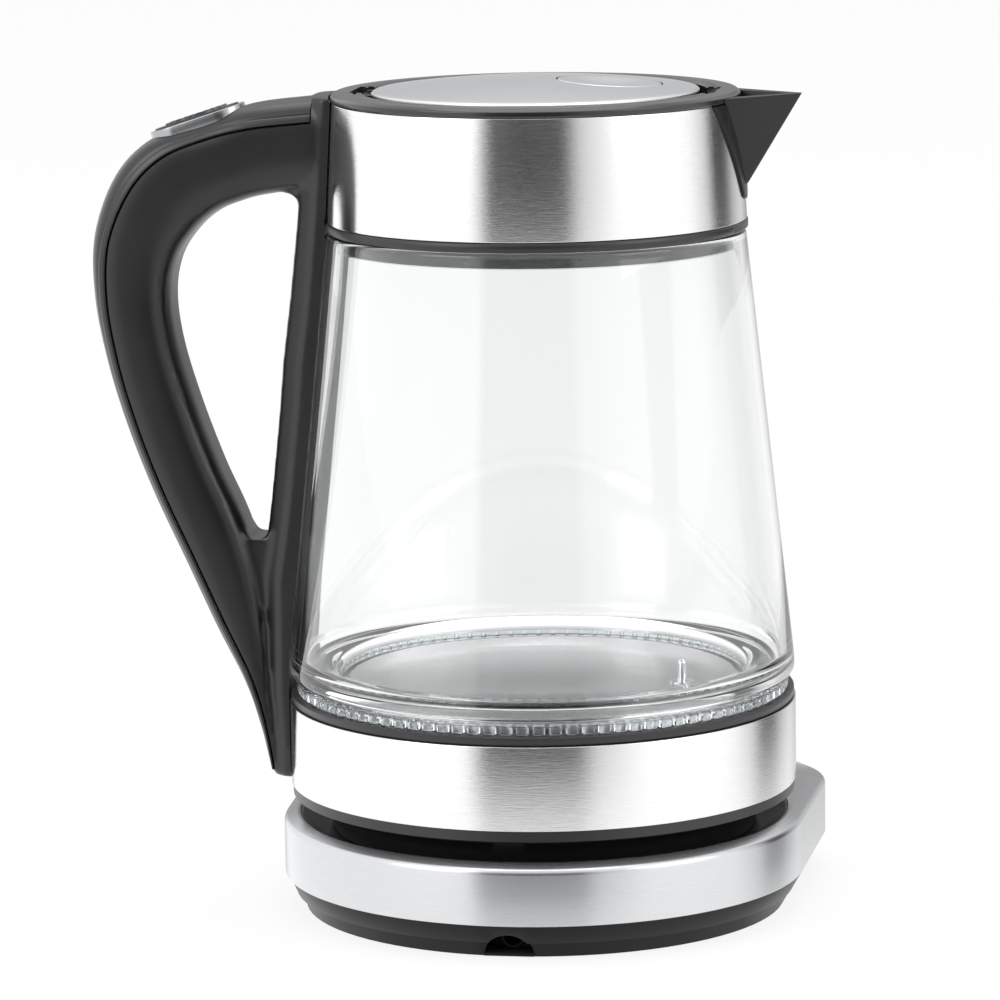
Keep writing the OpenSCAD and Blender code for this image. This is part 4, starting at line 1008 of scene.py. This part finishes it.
@dataclass
class Lid(Assembly):
    """The hinged lid: steel plate with its round press mark, plastic underside and silicone lip."""

    plate_r: float = 49.5
    plate_z: float = 249.0
    edge: float = 1.2
    rise: float = 3.4
    rings: int = 14
    press_r: float = 15.7
    press_x: float = 22.6
    press_deep: float = 1.5
    press_seam: float = 0.5

    @property
    def dome_r(self) -> float:
        """Radius of the sphere that the plate is part of."""
        return (self.plate_r ** 2 + self.rise ** 2) / (2 * self.rise)

    def dome(self, r: float) -> float:
        """Height of the plate at a radius."""
        return self.plate_z + self.edge + self.rise - self.dome_r + math.sqrt(self.dome_r ** 2 - r * r)

    def on_lid(self, bm: Solid) -> Solid:
        """Moves a piece drawn about the origin to the place of the press mark, in the slope of the plate."""
        slope = math.degrees(math.asin(self.press_x / self.dome_r))
        return placed(bm, (self.press_x, 0, self.dome(self.press_x)), slope, "Y")

    def build_plate(self) -> None:
        """The domed plate, open for the press mark and cut straight at the hinge."""
        r, low = self.plate_r, self.plate_z
        profile = [(0, low), (r - 0.4, low), (r, low + 0.3), (r - 0.05, low + 0.75),
                   (r - 0.5, self.dome(r - 0.5) - 0.12), (r - 1.3, self.dome(r - 1.3))]
        radii = [r * k / self.rings for k in range(self.rings - 1, -1, -1)]
        profile += [(radius, self.dome(radius)) for radius in radii]
        plate = as_object(spun(profile, closed=False), "lid_sheet")
        hole = self.press_r + self.press_seam
        cut(plate, self.on_lid(spun([(0, -12), (hole, -12), (hole, 12), (0, 12)], 128, closed=False)))
        cut(plate, block((-70, -40, 240), (-(r - 0.9), 40, 260)))
        self.keep(smooth(plate, 40), "lid", STEEL_LID, ["lid_plate"], "brushed_steel")

    def build_press_mark(self) -> None:
        """The dished round mark, with a flat rim a little below the plate."""
        r, rim, top = self.press_r, self.press_r - 0.5, -0.28
        dish = [(0, -2.4), (r, -2.4), (r, -0.5), (r - 0.2, -0.3), (rim, top)]
        for share in (k / self.rings for k in range(self.rings - 1, -1, -1)):
            dish.append((rim * share, top - self.press_deep * (1 - share ** 2) ** 1.5))
        disc = as_object(self.on_lid(spun(dish, 128, closed=False)), "press_mark")
        self.keep(smooth(disc, 40), "lid", STEEL_LID, ["lid_press_disc"], "brushed_steel")

    def build(self) -> None:
        """Builds the plate and the press mark, and refines the rest."""
        self.build_plate()
        self.build_press_mark()
        self.refine("lid_inner", "lid", BLACK_HOUSING, "black_plastic", angle=40)
        self.refine("lid_seal", "lid", SILICONE, "silicone", angle=60)
        self.dress("lid_keeper", ZINC)


@dataclass
class Spout(Assembly):
    """The short black spout that fills the opening of the upper band."""

    def build(self) -> None:
        """Refines the moulded spout."""
        self.refine("spout", "kettle", BLACK_SPOUT, "black_plastic", 0.6, 25)


# ---------------------------------------------------------------- handle


@dataclass(frozen=True)
class Station:
    """One section of the grip.

    Heights are shares of the handle's height, and reaches are distances from the kettle's wall, for the
    outer and the inner edge. Width is a share of the handle's, and cover is the cover's depth there.
    """

    outer_height: float
    outer_reach: float
    inner_height: float
    inner_reach: float
    width: float
    cover: float


# The grip from the neck, over the bend and down to the foot
GRIP = [Station(*row) for row in (
    (0.998, 3.0, 0.864, 4, 0.96, 7.5), (0.996, 8.4, 0.862, 10, 0.96, 7.5), (0.986, 25, 0.855, 20, 0.96, 7.0),
    (0.962, 39.5, 0.847, 26, 0.98, 5.6), (0.937, 55, 0.833, 33, 1.00, 7.1),
    (0.885, 65.6, 0.806, 39.6, 1.00, 7.4), (0.800, 71.2, 0.765, 44.8, 1.00, 6.3),
    (0.710, 70.2, 0.710, 46.2, 1.00, 5.3), (0.615, 65.2, 0.640, 43.4, 1.00, 4.8),
    (0.520, 57.9, 0.555, 36.9, 1.00, 4.6), (0.420, 48.3, 0.465, 28.5, 1.00, 4.5),
    (0.320, 37.1, 0.375, 18.9, 1.00, 4.5), (0.225, 26.4, 0.270, 12, 0.98, 4.4),
    (0.145, 16.5, 0.170, 9, 0.95, 3.8), (0.080, 10.6, 0.090, 6, 0.90, 2.6),
    (0.018, 6.8, 0.018, 2.8, 0.82, 1.7))]
# The post from the foot up: share of the height, of its depth and of the handle's width
POST = ((0.007, 0.34, 0.84), (0.014, 0.45, 0.9), (0.05, 0.66, 0.96), (0.14, 0.9, 0.96), (0.30, 1.1, 0.96),
        (0.365, 1.0, 0.96), (0.42, 0.94, 0.96), (0.54, 0.855, 0.96), (0.62, 0.83, 0.96), (0.71, 0.73, 0.96),
        (0.80, 0.66, 0.96), (0.87, 0.62, 0.96), (0.94, 0.6, 0.96), (1.0, 0.5, 0.96))
# Radius and height up the kettle's side: lower band, glass, black ring, upper band and collar
KETTLE_SIDE = ((77.5, 15), (77.5, 67.2), (77.2, 67.3), (77.2, 75.5), (63.35, 205.8), (63.8, 205.9),
               (63.8, 212.1), (63.5, 212.2), (61.5, 247.1), (62.0, 247.2), (62.0, 255))
# The latch's way as corners in X and Z: under the button, up to it, up the neck and along it
LATCH_ROOMS = (((-109.7, 227.0), (-78.7, 230.4)), ((-109.7, 227.0), (-96.7, 238.4)),
               ((-85.3, 227.0), (-78.7, 244.2)), ((-85.3, 241.0), (-43.8, 244.2)))
# Height and length of the two screw holes
SCREW_HOLES = ((51.0, 86.5), (225.1, 70.5))


def blended(near: Sequence[float], t: float) -> float:
    """Catmull-Rom value between the second and the third of four neighbours, at a share of the way."""
    p, q, r, w = near
    return 0.5 * (2 * q + (r - p) * t + (2 * p - 5 * q + 4 * r - w) * t * t
                  + (3 * q - p - 3 * r + w) * t ** 3)


@dataclass
class Handle(Assembly):
    """The loop handle: grip, cover, post along the glass, release button and latch."""

    low: float = 37.2
    height: float = 211.5
    foot_wall: float = 77.5
    top_wall: float = 61.5
    half: float = 12.5
    squareness: float = 3.3
    per_station: int = 7
    across: int = 22
    post: float = 11.0
    post_facet: float = 4.6
    seam: float = 0.35
    tongue: float = 1.2
    tongue_in: float = 3.2
    lip: float = 0.3
    crown_from: float = 3.2
    crown_steps: int = 11
    end_x: float = -67.1
    clear: float = 0.4
    button_x: float = -103.6
    button_z: float = 239.9
    button_slope: float = 18.0
    latch_half: float = 3.8
    screw_r: float = 1.6
    voxel: float = 0.8

    def wall(self, share: float) -> float:
        """Radius of the kettle at a share of the handle's height."""
        return self.foot_wall + (self.top_wall - self.foot_wall) * share

    def edge(self, share: float, reach: float) -> Vector:
        """A point of the grip's edge in the middle plane."""
        return Vector((-(self.wall(share) + reach), 0, self.low + self.height * share))

    def edges(self, row: Station) -> tuple[Vector, Vector]:
        """The outer and the inner edge of a section."""
        return self.edge(row.outer_height, row.outer_reach), self.edge(row.inner_height, row.inner_reach)

    def rows(self) -> list[Station]:
        """The stations with blended ones between them.

        Returns:
            All of them, from the neck to the foot.
        """
        known = [astuple(station) for station in GRIP]
        last = len(known) - 1
        out = []
        for k in range(last * self.per_station + 1):
            i, part = divmod(k, self.per_station)
            near = [known[max(0, min(last, i + j))] for j in (-1, 0, 1, 2)]
            out.append(Station(*(blended(values, part / self.per_station) for values in zip(*near))))
        return out

    def bulge(self, u: float) -> float:
        """Half width of the section as a share, at -1 (inner edge) to 1 (outer edge)."""
        return max(0.0, 1 - abs(u) ** self.squareness) ** (1 / self.squareness)

    def section(self, row: Station, sides: Sequence[Point]) -> list[Vector]:
        """A closed section of the grip.

        Args:
            row: the station.
            sides: points of one side, as the share across and the half width.

        Returns:
            The points of that side and of its mirror image.
        """
        outer, inner = self.edges(row)
        middle, reach = (outer + inner) / 2, (outer - inner) / 2
        return ([middle + reach * u + Vector((0, w, 0)) for u, w in sides]
                + [middle + reach * u - Vector((0, w, 0)) for u, w in reversed(sides) if w > 1e-6])

    def grip(self) -> Solid:
        """The whole grip as one solid, cover included."""
        shares = [-math.cos(math.pi * k / self.across) for k in range(self.across + 1)]
        return lofted([self.section(row, [(u, row.width * self.half * self.bulge(u)) for u in shares])
                       for row in self.rows()])

    def seam_at(self, row: Station) -> tuple[float, float, float]:
        """The seam on a section.

        Args:
            row: the station.

        Returns:
            The share across where the cover begins, half the section's depth and the tongue's height.
        """
        outer, inner = self.edges(row)
        deep = (outer - inner).length
        return 1 - 2 * min(row.cover, deep - 1.2) / deep, deep / 2, min(self.tongue, row.cover * 0.25)

    def cover(self) -> Solid:
        """The cover: a crowned strip with a raised lip along its seam, hollow over the body's tongue.

        Returns:
            The solid, before it is cut.
        """
        # Distance from the seam, and how far the surface stands out there
        bead = ((0.0, -0.35), (0.1, -0.14), (0.3, 0.1), (0.6, self.lip), (1.3, self.lip), (1.8, self.lip),
                (2.05, self.lip - 0.12), (2.25, -0.12), (2.5, -0.1), (2.8, 0.0))
        rings = []
        for row in self.rows():
            seam, depth, rise = self.seam_at(row)
            width = row.width * self.half
            inside = width * self.bulge(seam) - self.tongue_in
            sides = [(seam + (self.seam + rise) / depth, inside + 0.3),
                     (seam + self.seam / depth, inside + 0.4)]
            for along, out in bead:
                u = min(seam + (self.seam + along) / depth, 0.97)
                sides.append((u, width * self.bulge(u) + out))
            start = math.acos(-max(-0.98, min(0.975, seam + (self.seam + self.crown_from) / depth)))
            for k in range(self.crown_steps + 1):
                u = -math.cos(start + (math.pi - start) * k / self.crown_steps)
                sides.append((u, width * self.bulge(u)))
            rings.append(self.section(row, sides))
        return lofted(rings)

    def cover_room(self) -> Solid:
        """What the body leaves free for the cover, with a tongue inside and the seam's edge broken.

        Returns:
            The room as a solid.
        """
        rings = []
        for row in self.rows():
            seam, depth, rise = self.seam_at(row)
            width = row.width * self.half * self.bulge(seam)
            inside, outside = width - self.tongue_in, width + 3.0
            rings.append(self.section(row, [
                (seam + rise / depth, inside - 0.1), (seam, inside), (seam, width - 0.45),
                (seam - 0.12 / depth, width - 0.2), (seam - 0.35 / depth, width + 0.1),
                (seam - 0.5 / depth, outside), (1 + 0.4 / depth, outside)]))
        room = as_object(lofted(rings), "cover_room")
        cut(room, block((self.end_x + self.seam, -40, 200), (-20, 40, 270)))
        return taken(room)

    def post_solid(self) -> Solid:
        """The post along the glass, with a facet on each outer corner.

        Returns:
            The solid.
        """
        rings = []
        for share, deep, wide in POST:
            x0, x1 = -(self.wall(share) + 1 + self.post * deep), -(self.wall(share) - 5)
            half = self.half * wide
            facet = min(self.post_facet, self.post * deep * 0.6)
            z = self.low + self.height * share
            side = fillet([(x1, half), (x0 + facet * 1.35, half, 1.2), (x0, half - facet, 1.6), (x0, 0)],
                          closed=False)
            loop = side + [(x, -y) for x, y in reversed(side[:-1])]
            rings.append([Vector((x, y, z)) for x, y in loop])
        return lofted(rings)

    def corner_web(self) -> Solid:
        """Rounds the hole's upper corner, between grip and post."""
        r, x, z, over = 5.6, -71.4, 219.2, 1.5
        return slab([(x + over, z + over), (x - r, z + over), *arc(x - r, z - r, r, 90, 0, 8),
                     (x + over, z - r)], 7)

    def valley_web(self) -> Solid:
        """Closes the hole's lower end with a round floor, set back between grip and post."""
        r, x, z, flat = 2.2, -86.7, 115.0, 1.1
        floor = arc(x + flat, z, r, 0, -90, 5) + arc(x - flat, z, r, -90, -180, 5)
        return slab([(-80, z), *floor, (-93, z), (-88, 92), (-80, 92)], 8.8)

    def envelope(self) -> Solid:
        """The kettle that the handle runs along, grown by the clearance."""
        side = [(r + self.clear, z) for r, z in KETTLE_SIDE]
        return spun([(0, side[0][1]), *side, (0, side[-1][1])], TOOL_STEPS, closed=False)

    def on_slope(self, bm: Solid) -> Solid:
        """Moves a piece that is drawn about the origin to the sloping seat of the button."""
        return placed(bm, (self.button_x, 0, self.button_z), -self.button_slope, "Y")

    def cut_rooms(self, piece: Piece) -> None:
        """Cuts the button's pocket and the way of the latch.

        Args:
            piece: the grip or the cover.
        """
        cut(piece, self.on_slope(stadium(27.6, 14.2, -6.6, 14)))
        for (x0, z0), (x1, z1) in LATCH_ROOMS:
            cut(piece, block((x0, -self.latch_half, z0), (x1, self.latch_half, z1)))

    def build_body(self) -> None:
        """Grip, post and webs grown together, then cut for cover, kettle, button, latch and screws."""
        mass = as_object(joined((self.grip(), self.post_solid(), self.corner_web(), self.valley_web())),
                         "handle_shell")
        grown = mass.modifiers.new("grow_together", "REMESH")
        grown.mode = "VOXEL"
        grown.voxel_size = self.voxel * MM
        settle(mass)
        eased = mass.modifiers.new("ease", "SMOOTH")
        eased.factor = 0.5
        eased.iterations = 10
        settle(mass)
        cut(mass, self.cover_room())
        cut(mass, self.envelope())
        self.cut_rooms(mass)
        for z, length in SCREW_HOLES:
            hole = spun([(0, 0), (self.screw_r, 0), (self.screw_r, length), (0, length)], 24, closed=False)
            cut(mass, placed(hole, (0, 0, z), -90, "Y"))
        self.keep(smooth(mass, 32), "kettle", BLACK_GRIP, ["handle_body"], "black_plastic")

    def build_cover(self) -> None:
        """The cover, cut square at the neck and open for the button."""
        cover = as_object(self.cover(), "handle_crown")
        cut(cover, block((self.end_x, -40, 200), (-20, 40, 270)))
        cut(cover, self.envelope())
        cut(cover, self.on_slope(stadium(30.6, 17.2, -2.3, 14)))
        self.cut_rooms(cover)
        self.keep(smooth(cover, 34), "kettle", BLACK_COVER, ["handle_cover"], "black_plastic")

    def build(self) -> None:
        """Builds grip and cover, and refines the button's pieces."""
        self.build_body()
        self.build_cover()
        self.refine("button_bezel", "kettle", BEZEL, "chrome", 0.2, 40)
        self.refine("release_button", "release_button", GREY_BUTTON, "grey_plastic", angle=40)
        self.refine("latch_slider", "latch", WHITE_POM, "white_plastic", 0.2, 40)
        self.dress("handle_screws", ZINC)
        self.dress("button_spring", STEEL_WIRE)


# ---------------------------------------------------------------- studio


WHITE = (1, 1, 1, 1)
# Brightness of the surround by the angle from the camera's side: soft boxes with dark gaps between them,
# which the steel bands mirror as upright strips
SURROUND = ((-180, 0.3), (-166, 0.3), (-156, 0.9), (-118, 1.0), (-33, 1.0), (-28, 0.10), (-5, 0.06),
            (17, 0.08), (22, 0.55), (38, 0.85), (46, 1.0), (92, 1.0), (110, 0.55), (115, 0.04),
            (128, 0.06), (136, 0.4), (150, 0.6), (164, 0.3), (180, 0.3))
# Where the surround turns white towards the floor and the ceiling: start, end and share of white
FADES = ((-5, -22, 0.75), (14, 42, 0.8))


@dataclass(frozen=True)
class SoftBox:
    """A square area lamp: place about the camera's side and size in metres, and power in watts."""

    name: str
    place: tuple[float, float, float]
    size: float
    power: float


SOFT_BOXES = (SoftBox("left_box", (-1.6, -1.2, 1.2), 1.2, 14.0),
              SoftBox("right_box", (1.7, -0.9, 1.1), 1.2, 10.0),
              SoftBox("top_box", (0.0, 0.3, 2.0), 1.5, 14.0))


@dataclass
class Studio:
    """The camera, the lamps, the floor and the surround.

    The azimuth is degrees, the camera's yaw, pitch and roll are radians, and distances are metres.
    """

    azimuth: float = 8.5
    distance: float = 1.58746
    height: float = 0.395912
    yaw: float = -0.00776717
    pitch: float = 0.169181
    roll: float = -0.0139417
    lens: float = 190.08
    aim: float = 0.12

    def build_camera(self) -> None:
        """Places the camera by its own azimuth, pitch and roll."""
        turn = Matrix.Rotation(math.radians(self.azimuth), 3, "Z")
        forward = Vector((math.sin(self.yaw) * math.cos(self.pitch),
                          math.cos(self.yaw) * math.cos(self.pitch), -math.sin(self.pitch)))
        right = Vector((math.cos(self.yaw), -math.sin(self.yaw), 0))
        up = right.cross(forward)
        c, s = math.cos(self.roll), math.sin(self.roll)
        right, up = c * right + s * up, -s * right + c * up
        axes = Matrix([turn @ axis for axis in (right, up, -forward)]).transposed()
        data = bpy.data.cameras.new("camera")
        data.lens = self.lens
        data.sensor_width = 36
        data.clip_end = 50
        camera = bpy.data.objects.new("camera", data)
        spot = turn @ Vector((0, -self.distance, self.height))
        camera.matrix_world = Matrix.Translation(spot) @ axes.to_4x4()
        bpy.context.scene.collection.objects.link(camera)
        bpy.context.scene.camera = camera

    def mirrored(self, tree: Tree) -> Socket:
        """What a mirror sees of the surround: upright soft boxes that fade to white above and below.

        Args:
            tree: the world's tree.

        Returns:
            The colour.
        """
        place = add(tree, "ShaderNodeTexCoord").outputs["Generated"]
        way = add(tree, "ShaderNodeSeparateXYZ", {0: place}).outputs
        bearing = add(tree, "ShaderNodeMath", {0: way["Y"], 1: way["X"]}, operation="ARCTAN2")
        shift = math.radians(90 - self.azimuth) + math.pi
        shifted = add(tree, "ShaderNodeMath", {0: bearing.outputs[0], 1: shift}, operation="ADD")
        wrapped = add(tree, "ShaderNodeMath", {0: shifted.outputs[0], 1: math.tau},
                      operation="FLOORED_MODULO")
        share = add(tree, "ShaderNodeMath", {0: wrapped.outputs[0], 1: math.tau}, operation="DIVIDE")
        boxes = add(tree, "ShaderNodeValToRGB", {"Fac": share.outputs[0]},
                    stops=[((angle + 180) / 360, level) for angle, level in SURROUND]).outputs["Color"]
        tilt = add(tree, "ShaderNodeMath", {0: way["Z"]}, operation="ARCSINE").outputs[0]
        low, high = (add(tree, "ShaderNodeMapRange",
                         {"Value": tilt, "From Min": math.radians(start), "From Max": math.radians(end),
                          "To Min": 0.0, "To Max": white}, interpolation_type="SMOOTHSTEP")
                     for start, end, white in FADES)
        fade = add(tree, "ShaderNodeMath", {0: low.outputs[0], 1: high.outputs[0]}, operation="MAXIMUM")
        return add(tree, "ShaderNodeMix", {"Factor": fade.outputs[0], "A": boxes, "B": WHITE},
                   data_type="RGBA").outputs["Result"]

    def build_world(self) -> None:
        """A white surround, with the dark room between the soft boxes for mirror rays only."""
        world = bpy.data.worlds.new("studio")
        world.use_nodes = True
        bpy.context.scene.world = world
        world.cycles.sampling_method = "NONE"
        tree = world.node_tree
        tree.nodes.clear()
        plain = add(tree, "ShaderNodeBackground", {"Color": WHITE, "Strength": 0.9})
        white = add(tree, "ShaderNodeBackground", {"Color": WHITE, "Strength": 1.0})
        room = add(tree, "ShaderNodeBackground", {"Color": self.mirrored(tree), "Strength": 1.5})
        path = add(tree, "ShaderNodeLightPath").outputs
        glanced = add(tree, "ShaderNodeMath", {0: path["Glossy Depth"], 1: 0.5}, operation="GREATER_THAN")
        inner = add(tree, "ShaderNodeMath", {0: path["Is Transmission Ray"], 1: glanced.outputs[0]},
                    operation="MULTIPLY")
        mirror = add(tree, "ShaderNodeMath", {0: path["Is Glossy Ray"], 1: inner.outputs[0]},
                     operation="MAXIMUM")
        direct = add(tree, "ShaderNodeMath", {0: path["Is Camera Ray"], 1: path["Is Transmission Ray"]},
                     operation="MAXIMUM")
        straight = add(tree, "ShaderNodeMixShader", {0: direct.outputs[0], 1: plain.outputs[0],
                                                     2: white.outputs[0]})
        last = add(tree, "ShaderNodeMixShader", {0: mirror.outputs[0], 1: straight.outputs[0],
                                                 2: room.outputs[0]})
        add(tree, "ShaderNodeOutputWorld", {"Surface": last.outputs[0]})

    def build_floor(self) -> None:
        """A pale floor that shows white and keeps a soft shadow."""
        bm = bmesh.new()
        bmesh.ops.create_grid(bm, x_segments=1, y_segments=1, size=6.0)
        floor = as_object(bm, "studio_floor")
        made = bpy.data.materials.new("matt_white_paper")
        made.use_nodes = True
        tree = made.node_tree
        tree.nodes.clear()
        path = add(tree, "ShaderNodeLightPath").outputs
        direct = add(tree, "ShaderNodeMath", {0: path["Is Camera Ray"], 1: path["Is Transmission Ray"]},
                     operation="MAXIMUM")
        share = add(tree, "ShaderNodeMath", {0: direct.outputs[0], 1: 0.86}, operation="MULTIPLY")
        paper = add(tree, "ShaderNodeBsdfDiffuse", {"Color": (0.9, 0.9, 0.9, 1)})
        glow = add(tree, "ShaderNodeEmission", {"Color": WHITE, "Strength": 1.0})
        mix = add(tree, "ShaderNodeMixShader", {0: share.outputs[0], 1: paper.outputs[0], 2: glow.outputs[0]})
        add(tree, "ShaderNodeOutputMaterial", {"Surface": mix.outputs[0]})
        floor.data.materials.append(made)
        floor.visible_glossy = False

    def build_lamps(self) -> None:
        """Two large soft boxes beside the camera and one above, all aimed at the kettle's middle."""
        turn = Matrix.Rotation(math.radians(self.azimuth), 4, "Z")
        for box in SOFT_BOXES:
            data = bpy.data.lights.new(box.name, "AREA")
            data.shape = "SQUARE"
            data.size = box.size
            data.energy = box.power
            lamp = bpy.data.objects.new(box.name, data)
            spot = turn @ Vector(box.place)
            facing = (Vector((0, 0, self.aim)) - spot).to_track_quat("-Z", "Y")
            lamp.matrix_world = Matrix.Translation(spot) @ facing.to_matrix().to_4x4()
            bpy.context.scene.collection.objects.link(lamp)

    def build(self) -> None:
        """Builds the whole studio."""
        self.build_camera()
        self.build_world()
        self.build_floor()
        self.build_lamps()


def main() -> None:
    """Builds every sub-assembly, dresses it and reports its pieces."""
    logging.basicConfig(level=logging.INFO, format="%(name)s: %(message)s")
    scene = bpy.context.scene
    scene.view_settings.view_transform = "Standard"
    scene.cycles.transparent_max_bounces = 32
    scene.cycles.transmission_bounces = 16
    scene.cycles.glossy_bounces = 8
    scene.cycles.max_bounces = 24
    Studio().build()
    for group in (PowerBase(), Vessel(), Lid(), Spout(), Handle()):
        group.build()
        log.info("%s has %d pieces", type(group).__name__, len(group.pieces))


if __name__ == "__main__":
    main()
